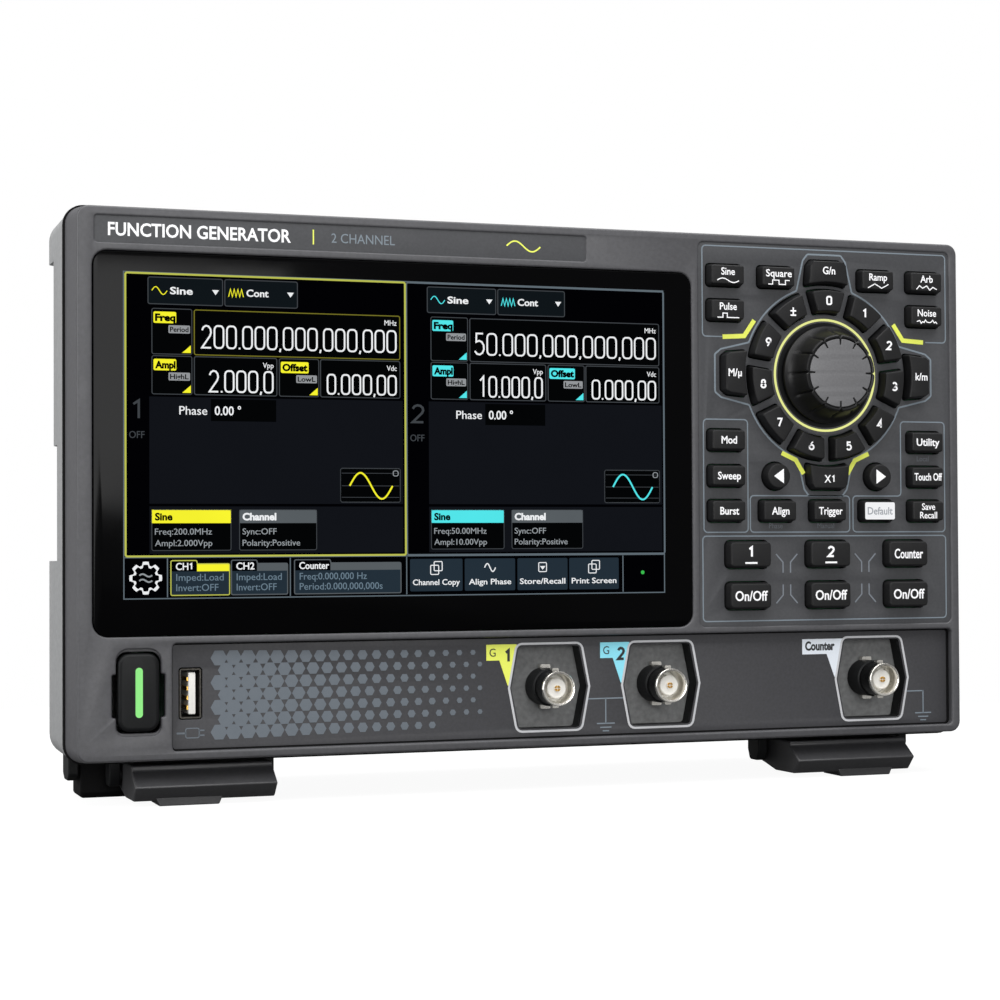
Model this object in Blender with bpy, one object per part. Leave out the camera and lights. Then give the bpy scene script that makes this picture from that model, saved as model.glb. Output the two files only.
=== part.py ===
"""Benchtop function generator: touch-screen front, rotary knob inside a ring of number keys, three BNC jacks.

The model stands on its feet at z = 0. The screen side faces -Y and +X is to the right.
Panel coordinates are used for most parts: x from the front face's centre line, depth behind
the front face, and height above the front face's bottom edge.
"""

import math

import bmesh
import bpy
from mathutils import Vector

MM = 0.001

# Case
FACE_WIDTH = 260.0 * MM
FACE_HEIGHT = 144.4 * MM
FLARE_SIDE = 2.67 * MM
FLARE_TOP = 1.3 * MM
BEZEL_DEPTH = 9.0 * MM
CASE_DEPTH = 68.1 * MM
PLATE = 2.3 * MM
WALL = 1.6 * MM
COVER_WALL = 2.2 * MM
GAP = 0.3 * MM
KNOB_REACH = 9.53 * MM
FACE_Y = (KNOB_REACH - CASE_DEPTH) / 2
FACE_Z = 12.3 * MM

# Display
GLASS_X = (-126.2 * MM, 43.7 * MM)
GLASS_Z = (32.3 * MM, 133.0 * MM)
GLASS_THICK = 0.8 * MM
GLASS_SINK = 0.3 * MM
LCD_WINDOW_X = (-120.0 * MM, 37.5 * MM)
LCD_WINDOW_Z = (40.5 * MM, 129.5 * MM)

# Keys
KNOB_X = 86.13 * MM
KNOB_Z = 104.66 * MM
KEY_CLEARANCE = 0.35 * MM
KEY_REACH = 2.7 * MM
KEY_FLANGE = 0.6 * MM
SMALL_KEY = (10.9 * MM, 6.2 * MM, 0.9 * MM)
LARGE_KEY = (13.4 * MM, 7.7 * MM, 1.3 * MM)
ROUND_KEY_RADIUS = 3.9 * MM
KEY_PITCH = 16.1 * MM
KEY_ROWS = (132.6 * MM, 122.6 * MM, 85.4 * MM, 75.2 * MM, 65.2 * MM)
LARGE_PITCH = 25.5 * MM
LARGE_ROWS = (52.7 * MM, 40.9 * MM)
ARROW_SPREAD = 16.4 * MM
RING_INNER = 18.1 * MM
RING_OUTER = 24.9 * MM
RING_COUNT = 11
RING_GAP = 2.7 * MM
HOOD_INNER = 26.5 * MM
HOOD_OUTER = 33.3 * MM
HOOD_INNER_HALF = 6.7 * MM
HOOD_OUTER_HALF = 4.9 * MM

# Lower panel
PANEL_X = (-105.3 * MM, 127.3 * MM)
PANEL_Z = (2.2 * MM, 30.4 * MM)
PANEL_DEPTH = PLATE + GAP
PANEL_THICK = 1.6 * MM
WELL_DEPTH = 7.9 * MM
WELL_HALF_HEIGHT = 11.4 * MM
WELL_HALF_WIDTH = 11.2 * MM
WELL_CORNER_HALF = 8.9 * MM
BNC_Z = 16.2 * MM
BNC_X = {"bnc_channel_1": 0.8 * MM, "bnc_channel_2": 34.6 * MM, "bnc_counter": 102.0 * MM}
BNC_REACH = 5.2 * MM
USB_X = -100.1 * MM
USB_Z = 17.1 * MM
USB_SHELL = (5.7 * MM, 13.1 * MM)
POWER_X = -114.2 * MM
POWER_Z = 17.85 * MM
POWER_SIZE = (10.9 * MM, 20.3 * MM, 3.0 * MM)

# Feet
FOOT_CENTRE = 96.0 * MM
FOOT_WIDTH = 38.0 * MM
FOOT_PIVOT_DEPTH = 23.5 * MM
FOOT_PIVOT_Z = -5.5 * MM
FOOT_PIVOT_RADIUS = 3.8 * MM
PIN_RADIUS = 1.5 * MM
PIN_REACH = 2.6 * MM
LUG_GAP = 0.5 * MM
LUG_WIDTH = 3.0 * MM
LUG_PROFILE = ((19.7 * MM, 0.5 * MM), (19.7 * MM, -5.5 * MM), (21.0 * MM, -8.5 * MM),
               (26.0 * MM, -8.5 * MM), (27.3 * MM, -5.5 * MM), (27.3 * MM, 0.5 * MM))
BOSS_X = (125.3 * MM, 128.2 * MM)
BOSS_PROFILE = ((28.5 * MM, 0.5 * MM), (28.5 * MM, -6.0 * MM), (31.0 * MM, -7.5 * MM),
                (36.0 * MM, -7.5 * MM), (38.5 * MM, -6.0 * MM), (38.5 * MM, 0.5 * MM))
REAR_FOOT_X = (88.8 * MM, 124.9 * MM)

# Rear
FAN_X = -58.0 * MM
FAN_Z = 86.0 * MM
FAN_SIZE = 40.0 * MM
IO_X = (-28.0 * MM, 88.0 * MM)
IO_Z = (13.0 * MM, 37.0 * MM)
IO_SOCKETS = ((28.0 * MM, 16.0 * MM, 13.5 * MM, 15.0 * MM), (54.0 * MM, 8.6 * MM, 7.8 * MM, 10.0 * MM))
INLET_X = 74.0 * MM
INLET_RADIUS = 3.3 * MM
INLET_DEPTH = 10.0 * MM
INLET_PIN = 1.0 * MM
REAR_HOLE_PITCH = 75.0 * MM
REAR_HOLES_X = 20.0 * MM
REAR_HOLES_Z = 80.0 * MM
REAR_HOLE_RADIUS = 2.1 * MM
FAN_SLOTS = (5.0 * MM, 1.5 * MM, 18.5 * MM)
COVER_HALF_WIDTH = FACE_WIDTH / 2 + FLARE_SIDE - GAP
COVER_Z = (-FLARE_TOP + GAP, FACE_HEIGHT + FLARE_TOP - GAP)
SIDE_SCOOPS = (("lower_scoop", 20.0 * MM, (52.0 * MM, 83.0 * MM)),
               ("upper_scoop", 26.5 * MM, (83.0 * MM, 133.0 * MM)))
SCOOP_SLOPE = 0.39
SCOOP_END = 60.0 * MM

CORNER_STEPS = 3
ROUND_STEPS = 24


def clear_scene():
    for item in list(bpy.data.objects):
        bpy.data.objects.remove(item, do_unlink=True)


def material(name, colour, roughness, metallic=0.0):
    finish = bpy.data.materials.new(name)
    finish.use_nodes = True
    shader = finish.node_tree.nodes["Principled BSDF"]
    shader.inputs["Base Color"].default_value = (*colour, 1.0)
    shader.inputs["Roughness"].default_value = roughness
    shader.inputs["Metallic"].default_value = metallic
    return finish


# Outlines: lists of (x, height), anticlockwise seen from the front


def fillet(corners, radius, steps=CORNER_STEPS):
    """Outline through corners, each rounded by an arc of the radius."""
    points = []
    count = len(corners)
    for index in range(count):
        here = Vector(corners[index])
        before = (Vector(corners[index - 1]) - here).normalized()
        after = (Vector(corners[(index + 1) % count]) - here).normalized()
        half = before.angle(after) / 2
        centre = here + (before + after).normalized() * (radius / math.sin(half))
        start = here + before * (radius / math.tan(half)) - centre
        first = math.atan2(start.y, start.x)
        for step in range(steps + 1):
            turn = first + (math.pi - 2 * half) * step / steps
            points.append((centre.x + radius * math.cos(turn), centre.y + radius * math.sin(turn)))
    return points


def rectangle(low_x, high_x, low_z, high_z, radius=0.0, grow=0.0, steps=CORNER_STEPS):
    low_x, high_x = low_x - grow, high_x + grow
    low_z, high_z = low_z - grow, high_z + grow
    corners = [(low_x, low_z), (high_x, low_z), (high_x, high_z), (low_x, high_z)]
    return fillet(corners, radius + grow, steps) if radius + grow > 0 else corners


def centred(x, z, width, height, radius=0.0, grow=0.0):
    return rectangle(x - width / 2, x + width / 2, z - height / 2, z + height / 2, radius, grow)


def circle(x, z, radius, steps=ROUND_STEPS):
    turns = [math.tau * step / steps for step in range(steps)]
    return [(x + radius * math.cos(turn), z + radius * math.sin(turn)) for turn in turns]


def ring_key_outline(number, grow=0.0):
    """A sector of the number ring with parallel gaps to its neighbours; 0 is at the top."""
    middle = math.pi / 2 - number * math.tau / RING_COUNT
    half_step = math.pi / RING_COUNT
    points = []
    for radius, steps, way in ((RING_OUTER + grow, 4, 1), (RING_INNER - grow, 3, -1)):
        reach = half_step - math.asin((RING_GAP / 2 - grow) / radius)
        for step in range(steps + 1):
            turn = middle + way * reach * (2 * step / steps - 1)
            points.append((KNOB_X + radius * math.cos(turn), KNOB_Z + radius * math.sin(turn)))
    return points


def hood_key_outline(turn, grow=0.0):
    """A key outside the number ring: arc towards the knob, narrower straight edge away from it."""
    inner = HOOD_INNER - grow
    reach = math.asin((HOOD_INNER_HALF + grow) / inner)
    local = [(inner * math.cos(angle), inner * math.sin(angle))
             for angle in (reach, reach / 2, 0.0, -reach / 2, -reach)]
    local += [(HOOD_OUTER - 1.6 * MM, -HOOD_OUTER_HALF - 1.2 * MM - grow)]
    local += [(HOOD_OUTER + grow, -HOOD_OUTER_HALF), (HOOD_OUTER + grow, HOOD_OUTER_HALF)]
    local += [(HOOD_OUTER - 1.6 * MM, HOOD_OUTER_HALF + 1.2 * MM + grow)]
    cos, sin = math.cos(turn), math.sin(turn)
    return [(KNOB_X + a * cos - b * sin, KNOB_Z + a * sin + b * cos) for a, b in local]


def well_outline(x, grow=0.0):
    """Tall hexagon around a jack: straight top and bottom, a corner halfway up each side."""
    top, side, corner = WELL_HALF_HEIGHT + grow, WELL_HALF_WIDTH + grow, WELL_CORNER_HALF + grow
    return [(x - corner, BNC_Z - top), (x + corner, BNC_Z - top), (x + side, BNC_Z),
            (x + corner, BNC_Z + top), (x - corner, BNC_Z + top), (x - side, BNC_Z)]


# Solids: made in panel coordinates, then placed in the world


def add_stack(mesh, sections):
    """Adds a closed solid through (outline, depth) sections of equal point count."""
    rings = [[mesh.verts.new((x, depth, z)) for x, z in outline] for outline, depth in sections]
    for near, far in zip(rings, rings[1:]):
        for index in range(len(near)):
            mesh.faces.new((near[index - 1], near[index], far[index], far[index - 1]))
    mesh.faces.new(rings[0])
    mesh.faces.new(reversed(rings[-1]))


def add_prism(mesh, outline, near, far):
    add_stack(mesh, [(outline, near), (outline, far)])


def add_box(mesh, low_x, high_x, near, far, low_z, high_z):
    add_prism(mesh, rectangle(low_x, high_x, low_z, high_z), near, far)


def add_turned(mesh, profile, x, z, steps=ROUND_STEPS):
    """Adds a solid turned about the depth axis; its (radius, depth) profile starts and ends on the axis."""
    first = mesh.verts.new((x, profile[0][1], z))
    last = mesh.verts.new((x, profile[-1][1], z))
    rings = [[mesh.verts.new((px, depth, pz)) for px, pz in circle(x, z, radius, steps)]
             for radius, depth in profile[1:-1]]
    for index in range(steps):
        mesh.faces.new((first, rings[0][index - 1], rings[0][index]))
        mesh.faces.new((last, rings[-1][index], rings[-1][index - 1]))
        for near, far in zip(rings, rings[1:]):
            mesh.faces.new((near[index - 1], near[index], far[index], far[index - 1]))


def add_side_prism(mesh, profile, low_x, high_x):
    """Adds a prism along x through a profile of (depth, height)."""
    left = [mesh.verts.new((low_x, depth, z)) for depth, z in profile]
    right = [mesh.verts.new((high_x, depth, z)) for depth, z in profile]
    for index in range(len(profile)):
        mesh.faces.new((left[index - 1], left[index], right[index], right[index - 1]))
    mesh.faces.new(left)
    mesh.faces.new(reversed(right))


def add_pin(mesh, low_x, high_x, depth, z, radius, steps=12):
    add_side_prism(mesh, circle(depth, z, radius, steps), low_x, high_x)


def finish_object(name, mesh, pivot=(0.0, 0.0, 0.0), look=None):
    """Closes the mesh, moves it from panel coordinates to the world and puts its origin at the pivot."""
    bmesh.ops.recalc_face_normals(mesh, faces=mesh.faces)
    origin = Vector(pivot)
    for vertex in mesh.verts:
        vertex.co -= origin
    data = bpy.data.meshes.new(name)
    mesh.to_mesh(data)
    mesh.free()
    item = bpy.data.objects.new(name, data)
    item.location = origin + Vector((0.0, FACE_Y, FACE_Z))
    bpy.context.scene.collection.objects.link(item)
    if look:
        data.materials.append(look)
        data.shade_smooth()
        data.set_sharp_from_angle(angle=math.radians(30))
    return item


def combine(item, mesh, operation, label):
    """Adds a Boolean of a guide solid, made in panel coordinates, to the item."""
    guide = finish_object(f"{item.name}_{label}", mesh)
    guide.hide_render = True
    guide.display_type = "WIRE"
    step = item.modifiers.new(label, "BOOLEAN")
    step.operation = operation
    step.object = guide
    step.solver = "EXACT"


# Keys


def key_outlines():
    """Every key's name with a function giving its outline grown by a distance."""
    columns = [KNOB_X + (index - 2) * KEY_PITCH for index in range(5)]
    small = {"sine": (0, 0), "square": (1, 0), "ramp": (3, 0), "arb": (4, 0), "pulse": (0, 1),
             "noise": (4, 1), "mod": (0, 2), "utility": (4, 2), "sweep": (0, 3), "touch_off": (4, 3),
             "burst": (0, 4), "align": (1, 4), "trigger": (2, 4), "default": (3, 4), "recall": (4, 4)}
    large = {"channel_1": (-1, 0), "channel_2": (0, 0), "counter": (1, 0),
             "output_1": (-1, 1), "output_2": (0, 1), "counter_on": (1, 1)}
    hoods = {"giga": 0.5, "mega": 1.0, "kilo": 0.0, "unit": 1.5}
    outlines = {}
    for name, (column, row) in small.items():
        place = (columns[column], KEY_ROWS[row])
        outlines[name] = lambda grow, place=place: centred(*place, *SMALL_KEY, grow)
    for name, (column, row) in large.items():
        place = (KNOB_X + column * LARGE_PITCH, LARGE_ROWS[row])
        outlines[name] = lambda grow, place=place: centred(*place, *LARGE_KEY, grow)
    for number in range(RING_COUNT):
        name = "sign" if number == 10 else str(number)
        outlines[name] = lambda grow, number=number: ring_key_outline(number, grow)
    for name, turn in hoods.items():
        outlines[name] = lambda grow, turn=turn: hood_key_outline(turn * math.pi, grow)
    for name, side in (("left", -1), ("right", 1)):
        x = KNOB_X + side * ARROW_SPREAD
        outlines[name] = lambda grow, x=x: circle(x, KEY_ROWS[3], ROUND_KEY_RADIUS + grow, 16)
    return {f"key_{name}": outline for name, outline in outlines.items()}


def make_key(name, outline, look):
    """Rubber key: cap with a sloped rim, and a flange behind the plate that keeps it in its hole."""
    mesh = bmesh.new()
    flange = PLATE + GAP
    add_stack(mesh, [
        (outline(-0.7 * MM), -KEY_REACH),
        (outline(0.0), -KEY_REACH + 0.9 * MM),
        (outline(0.0), flange),
        (outline(KEY_FLANGE), flange),
        (outline(KEY_FLANGE), flange + 0.8 * MM),
    ])
    finish_object(name, mesh, look=look)


# Front


def make_bezel(keys, look):
    mesh = bmesh.new()
    half = FACE_WIDTH / 2
    side, rise = FLARE_SIDE, FLARE_TOP
    front = rectangle(-half, half, 0.0, FACE_HEIGHT, 3.0 * MM)
    back = rectangle(-half - side, half + side, -rise, FACE_HEIGHT + rise, 5.5 * MM)
    add_stack(mesh, [(front, 0.0), (back, BEZEL_DEPTH)])
    bezel = finish_object("front_bezel", mesh, look=look)

    hollow = bmesh.new()
    start = rectangle(-half, half, 0.0, FACE_HEIGHT, 1.5 * MM + WALL, -WALL)
    past = 1.0 * MM
    end = rectangle(-half - side, half + side, -rise, FACE_HEIGHT + rise, 3.9 * MM + WALL, -WALL)
    add_stack(hollow, [(start, PLATE), (end, BEZEL_DEPTH), (end, BEZEL_DEPTH + past)])
    combine(bezel, hollow, "DIFFERENCE", "hollow")

    holes = bmesh.new()
    for outline in keys.values():
        add_prism(holes, outline(KEY_CLEARANCE), -past, PLATE + past)
    add_prism(holes, circle(KNOB_X, KNOB_Z, 4.8 * MM), -past, PLATE + past)
    add_prism(holes, centred(POWER_X, POWER_Z, *POWER_SIZE, KEY_CLEARANCE), -past, PLATE + past)
    add_prism(holes, rectangle(*PANEL_X, *PANEL_Z, 1.2 * MM), -past, PLATE + past)
    add_prism(holes, rectangle(*LCD_WINDOW_X, *LCD_WINDOW_Z, 1.5 * MM), -past, PLATE + past)
    combine(bezel, holes, "DIFFERENCE", "openings")

    pocket = bmesh.new()
    floor = GLASS_SINK + GLASS_THICK + GAP
    add_prism(pocket, rectangle(*GLASS_X, *GLASS_Z, 4.0 * MM), -past, floor)
    combine(bezel, pocket, "DIFFERENCE", "glass_pocket")


def make_glass(look):
    mesh = bmesh.new()
    outline = rectangle(*GLASS_X, *GLASS_Z, 4.0 * MM, -GAP)
    add_prism(mesh, outline, GLASS_SINK, GLASS_SINK + GLASS_THICK)
    finish_object("display_glass", mesh, look=look)


def make_lcd(look):
    mesh = bmesh.new()
    near = PLATE + GAP
    edge = 3.0 * MM
    low_x, high_x = LCD_WINDOW_X[0] - edge, LCD_WINDOW_X[1] + edge
    add_box(mesh, low_x, high_x, near, near + 5.0 * MM, LCD_WINDOW_Z[0] - edge, LCD_WINDOW_Z[1] + edge)
    finish_object("lcd_module", mesh, look=look)


def make_key_board(look):
    mesh = bmesh.new()
    near, far = 5.2 * MM, 6.8 * MM
    add_box(mesh, 45.8 * MM, 127.4 * MM, near, far, 33.6 * MM, 141.6 * MM)
    board = finish_object("key_board", mesh, look=look)
    hole = bmesh.new()
    add_prism(hole, centred(KNOB_X, KNOB_Z, 14.0 * MM, 14.0 * MM), near - MM, far + MM)
    combine(board, hole, "DIFFERENCE", "encoder_hole")


def make_connector_panel(look):
    mesh = bmesh.new()
    near, far = PANEL_DEPTH, PANEL_DEPTH + PANEL_THICK
    wall = 1.4 * MM
    add_box(mesh, -106.8 * MM, 127.9 * MM, near, far, 1.95 * MM, 32.0 * MM)
    panel = finish_object("connector_panel", mesh, look=look)

    boxes = bmesh.new()
    for x in BNC_X.values():
        add_prism(boxes, well_outline(x, wall), near + 0.5 * MM, WELL_DEPTH + wall)
    combine(panel, boxes, "UNION", "well_walls")

    cuts = bmesh.new()
    for x in BNC_X.values():
        add_prism(cuts, well_outline(x), near - MM, WELL_DEPTH)
    add_prism(cuts, centred(USB_X, USB_Z, *USB_SHELL, 0.0, GAP), near - MM, far + MM)
    combine(panel, cuts, "DIFFERENCE", "wells")

    bores = bmesh.new()
    for x in BNC_X.values():
        add_prism(bores, circle(x, BNC_Z, 4.75 * MM, 16), WELL_DEPTH - MM, WELL_DEPTH + wall + MM)
    combine(panel, bores, "DIFFERENCE", "jack_bores")


def make_bnc(name, x, look):
    """Jack: ribbed barrel, thin front ring around a dielectric with the centre contact, two bayonet lugs."""
    mesh = bmesh.new()
    front = -BNC_REACH
    mouth = front + 8.0 * MM
    profile = [(0.0, front + 1.0 * MM), (0.7 * MM, front + 1.0 * MM), (0.7 * MM, front + 2.0 * MM),
               (2.3 * MM, front + 2.0 * MM), (2.3 * MM, mouth), (4.05 * MM, mouth),
               (4.05 * MM, front + 1.0 * MM), (4.3 * MM, front), (4.8 * MM, front),
               (4.8 * MM, front + 5.0 * MM), (4.35 * MM, front + 5.5 * MM), (4.35 * MM, 10.0 * MM),
               (6.0 * MM, 10.0 * MM), (6.0 * MM, 19.0 * MM), (0.0, 19.0 * MM)]
    add_turned(mesh, profile, x, BNC_Z, 16)
    jack = finish_object(name, mesh, look=look)
    lugs = bmesh.new()
    depth = front + 3.0 * MM
    for side in (-1, 1):
        low, high = sorted((BNC_Z + side * 4.4 * MM, BNC_Z + side * 5.5 * MM))
        add_prism(lugs, rectangle(x - 0.95 * MM, x + 0.95 * MM, low, high), depth, depth + 1.9 * MM)
    combine(jack, lugs, "UNION", "lugs")


def make_usb_socket(look):
    mesh = bmesh.new()
    near, far = 2.8 * MM, 14.0 * MM
    wall = 0.4 * MM
    add_prism(mesh, centred(USB_X, USB_Z, *USB_SHELL), near, far)
    socket = finish_object("usb_host_socket", mesh, look=look)
    hollow = bmesh.new()
    add_prism(hollow, centred(USB_X, USB_Z, *USB_SHELL, 0.0, -wall), near - MM, far - 2 * wall)
    combine(socket, hollow, "DIFFERENCE", "mouth")
    tongue = bmesh.new()
    low = USB_X - 0.4 * MM
    height = 11.1 * MM
    add_box(tongue, low, low + 1.9 * MM, near + 0.6 * MM, far - wall, USB_Z - height / 2, USB_Z + height / 2)
    combine(socket, tongue, "UNION", "tongue")


def make_encoder(body_look, shaft_look, knob_look):
    """Encoder case with its bushing, the push shaft inside it and the knob on the shaft."""
    case = bmesh.new()
    add_prism(case, centred(KNOB_X, KNOB_Z, 13.0 * MM, 13.0 * MM), 2.8 * MM, 9.8 * MM)
    body = finish_object("encoder_body", case, look=body_look)
    bushing = bmesh.new()
    add_prism(bushing, circle(KNOB_X, KNOB_Z, 4.3 * MM), -0.5 * MM, 3.5 * MM)
    combine(body, bushing, "UNION", "bushing")
    bore = bmesh.new()
    add_prism(bore, circle(KNOB_X, KNOB_Z, 3.35 * MM), -1.5 * MM, 5.2 * MM)
    combine(body, bore, "DIFFERENCE", "bore")

    pivot = (KNOB_X, 0.0, KNOB_Z)
    shaft = bmesh.new()
    add_prism(shaft, circle(KNOB_X, KNOB_Z, 3.0 * MM), -7.8 * MM, 4.2 * MM)
    finish_object("encoder_shaft", shaft, pivot, shaft_look)

    knob = bmesh.new()
    back = -0.9 * MM
    profile = [(0.0, -KNOB_REACH), (10.9 * MM, -KNOB_REACH), (11.3 * MM, -9.0 * MM),
               (11.5 * MM, -7.2 * MM), (12.1 * MM, -4.6 * MM), (13.2 * MM, -2.6 * MM),
               (14.1 * MM, -1.9 * MM), (14.1 * MM, back), (5.2 * MM, back), (5.2 * MM, -1.8 * MM),
               (3.35 * MM, -1.8 * MM), (3.35 * MM, -8.1 * MM), (0.0, -8.1 * MM)]
    add_turned(knob, profile, KNOB_X, KNOB_Z)
    finish_object("knob", knob, pivot, knob_look)


def make_power_button(look):
    mesh = bmesh.new()
    flange = PLATE + GAP

    def outline(grow):
        return centred(POWER_X, POWER_Z, *POWER_SIZE, grow)

    add_stack(mesh, [(outline(-0.5 * MM), -0.6 * MM), (outline(0.0), -0.1 * MM),
                     (outline(0.0), flange), (outline(KEY_FLANGE), flange), (outline(KEY_FLANGE), 3.4 * MM)])
    finish_object("power_button", mesh, look=look)


# Inside


def make_main_board(look):
    mesh = bmesh.new()
    near, far = 24.0 * MM, 25.6 * MM
    add_box(mesh, -112.0 * MM, 112.0 * MM, near, far, 8.0 * MM, 130.0 * MM)
    board = finish_object("main_board", mesh, look=look)
    raised = bmesh.new()
    inside = far - 0.5 * MM
    add_box(raised, 10.0 * MM, 62.0 * MM, inside, far + 6.0 * MM, 60.0 * MM, 104.0 * MM)
    add_box(raised, 74.0 * MM, 102.0 * MM, inside, far + 9.0 * MM, 64.0 * MM, 96.0 * MM)
    add_box(raised, -60.0 * MM, -36.0 * MM, inside, far + 4.0 * MM, 30.0 * MM, 54.0 * MM)
    combine(board, raised, "UNION", "shields")


def make_fan(frame_look, blade_look):
    near, far = 53.0 * MM, 63.0 * MM
    pin_radius = 1.0 * MM
    case = bmesh.new()
    add_prism(case, centred(FAN_X, FAN_Z, FAN_SIZE, FAN_SIZE, 3.0 * MM), near, far)
    frame = finish_object("fan_frame", case, look=frame_look)
    duct = bmesh.new()
    add_prism(duct, circle(FAN_X, FAN_Z, 18.8 * MM), near - MM, far + MM)
    combine(frame, duct, "DIFFERENCE", "duct")
    spider = bmesh.new()
    arm_far = near + 1.6 * MM
    arm = 1.2 * MM
    add_box(spider, FAN_X - 19.4 * MM, FAN_X + 19.4 * MM, near, arm_far, FAN_Z - arm, FAN_Z + arm)
    combine(frame, spider, "UNION", "arm_across")
    upright = bmesh.new()
    add_box(upright, FAN_X - arm, FAN_X + arm, near, arm_far, FAN_Z - 19.4 * MM, FAN_Z + 19.4 * MM)
    combine(frame, upright, "UNION", "arm_up")
    seat = bmesh.new()
    profile = [(0.0, near), (7.5 * MM, near), (7.5 * MM, arm_far + 0.4 * MM),
               (pin_radius, arm_far + 0.4 * MM), (pin_radius, far - 2.0 * MM), (0.0, far - 2.0 * MM)]
    add_turned(seat, profile, FAN_X, FAN_Z, 16)
    combine(frame, seat, "UNION", "seat")

    pivot = (FAN_X, 0.0, FAN_Z)
    hub = bmesh.new()
    hub_near = arm_far + 0.8 * MM
    bore = 1.35 * MM
    profile = [(0.0, far - 0.6 * MM), (7.6 * MM, far - 0.6 * MM), (8.2 * MM, far - 1.4 * MM),
               (8.2 * MM, hub_near), (bore, hub_near), (bore, far - 1.5 * MM), (0.0, far - 1.5 * MM)]
    add_turned(hub, profile, 0.0, 0.0, 16)
    for vertex in hub.verts:
        vertex.co += Vector(pivot)
    impeller = finish_object("fan_impeller", hub, pivot, blade_look)
    combine(impeller, fan_blades(hub_near + 1.2 * MM, far - 1.8 * MM), "UNION", "blades")


def fan_blades(near, far):
    """Seven blades between the hub and the duct, each leaning forwards at its tip."""
    mesh = bmesh.new()
    count, lean = 7, 0.22
    root, tip = 7.9 * MM, 18.0 * MM
    for index in range(count):
        turn = math.tau * index / count
        outline = []
        for radius, angle in ((root, -lean), (tip, -lean / 2), (tip, lean), (root, lean / 2)):
            x = FAN_X + radius * math.cos(turn + angle)
            z = FAN_Z + radius * math.sin(turn + angle)
            outline.append((x, z))
        add_prism(mesh, outline, near, far)
    return mesh


# Rear


def add_scoop(mesh, side, start, low_z, high_z):
    """Adds the wedge that a side hand-hold takes out of the cover, from its start depth backwards."""
    edge, beyond = 132.6 * MM, 140.0 * MM
    inner = edge - SCOOP_SLOPE * (SCOOP_END - start)
    points = [(side * edge, start), (side * beyond, start),
              (side * beyond, SCOOP_END), (side * inner, SCOOP_END)]
    lower = [mesh.verts.new((x, depth, low_z)) for x, depth in points]
    upper = [mesh.verts.new((x, depth, high_z)) for x, depth in points]
    for index in range(len(points)):
        mesh.faces.new((lower[index - 1], lower[index], upper[index], upper[index - 1]))
    mesh.faces.new(lower)
    mesh.faces.new(reversed(upper))


def cover_shape():
    """Outside of the cover: full size behind the bezel, tapering to a smaller flat back."""
    mesh = bmesh.new()
    half, (low, high) = COVER_HALF_WIDTH, COVER_Z
    add_stack(mesh, [
        (rectangle(-half, half, low, high, 5.5 * MM), BEZEL_DEPTH + GAP),
        (rectangle(-132.0 * MM, 132.0 * MM, low, high, 6.0 * MM), 37.0 * MM),
        (rectangle(-112.0 * MM, 112.0 * MM, low, 133.0 * MM, 9.0 * MM), SCOOP_END),
        (rectangle(-108.0 * MM, 108.0 * MM, 3.0 * MM, 129.0 * MM, 9.0 * MM), 65.5 * MM),
        (rectangle(-105.0 * MM, 105.0 * MM, 6.0 * MM, 126.0 * MM, 9.0 * MM), CASE_DEPTH),
    ])
    return mesh


def cover_hollow():
    """Inside of the cover; it narrows behind the bezel so that the hand-holds keep a wall."""
    mesh = bmesh.new()
    wide, narrow = COVER_HALF_WIDTH - COVER_WALL, 116.0 * MM
    low, high = COVER_Z[0] + COVER_WALL, COVER_Z[1] - COVER_WALL
    add_stack(mesh, [
        (rectangle(-wide, wide, low, high, 3.5 * MM), BEZEL_DEPTH - MM),
        (rectangle(-wide, wide, low, high, 3.5 * MM), 17.0 * MM),
        (rectangle(-narrow, narrow, low, high, 3.5 * MM), 22.0 * MM),
        (rectangle(-narrow, narrow, low, high, 3.5 * MM), 38.0 * MM),
        (rectangle(-106.0 * MM, 106.0 * MM, low, 130.0 * MM, 6.0 * MM), SCOOP_END),
        (rectangle(-104.0 * MM, 104.0 * MM, 7.0 * MM, 125.0 * MM, 6.0 * MM), CASE_DEPTH - COVER_WALL),
    ])
    return mesh


def foot_lugs():
    """Hinge lugs at both ends of each front foot, and a rounded boss outside each rear foot."""
    mesh = bmesh.new()
    for side in (-1, 1):
        for edge in (-1, 1):
            near_x = side * FOOT_CENTRE + edge * (FOOT_WIDTH / 2 + LUG_GAP)
            low_x, high_x = sorted((near_x, near_x + edge * LUG_WIDTH))
            add_side_prism(mesh, LUG_PROFILE, low_x, high_x)
        low_x, high_x = sorted(side * x for x in BOSS_X)
        add_side_prism(mesh, BOSS_PROFILE, low_x, high_x)
    return mesh


def rear_cuts():
    """Fan slots, socket window and four screw holes through the back wall."""
    mesh = bmesh.new()
    wall = (CASE_DEPTH - COVER_WALL - MM, CASE_DEPTH + MM)
    pitch, half_height, radius = FAN_SLOTS
    for row in range(-3, 4):
        z = FAN_Z + row * pitch
        reach = math.sqrt(radius ** 2 - (row * pitch) ** 2)
        add_prism(mesh, rectangle(FAN_X - reach, FAN_X + reach, z - half_height, z + half_height), *wall)
    add_prism(mesh, rectangle(*IO_X, *IO_Z, 2.0 * MM), *wall)
    for x in (-1, 1):
        for z in (-1, 1):
            centre = (REAR_HOLES_X + x * REAR_HOLE_PITCH / 2, REAR_HOLES_Z + z * REAR_HOLE_PITCH / 2)
            add_prism(mesh, circle(*centre, REAR_HOLE_RADIUS, 12), *wall)
    return mesh


def foot_pin_holes():
    mesh = bmesh.new()
    reach = FOOT_WIDTH / 2 + PIN_REACH + GAP
    for side in (-1, 1):
        centre = side * FOOT_CENTRE
        add_pin(mesh, centre - reach, centre + reach, FOOT_PIVOT_DEPTH, FOOT_PIVOT_Z, PIN_RADIUS + GAP)
    return mesh


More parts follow.
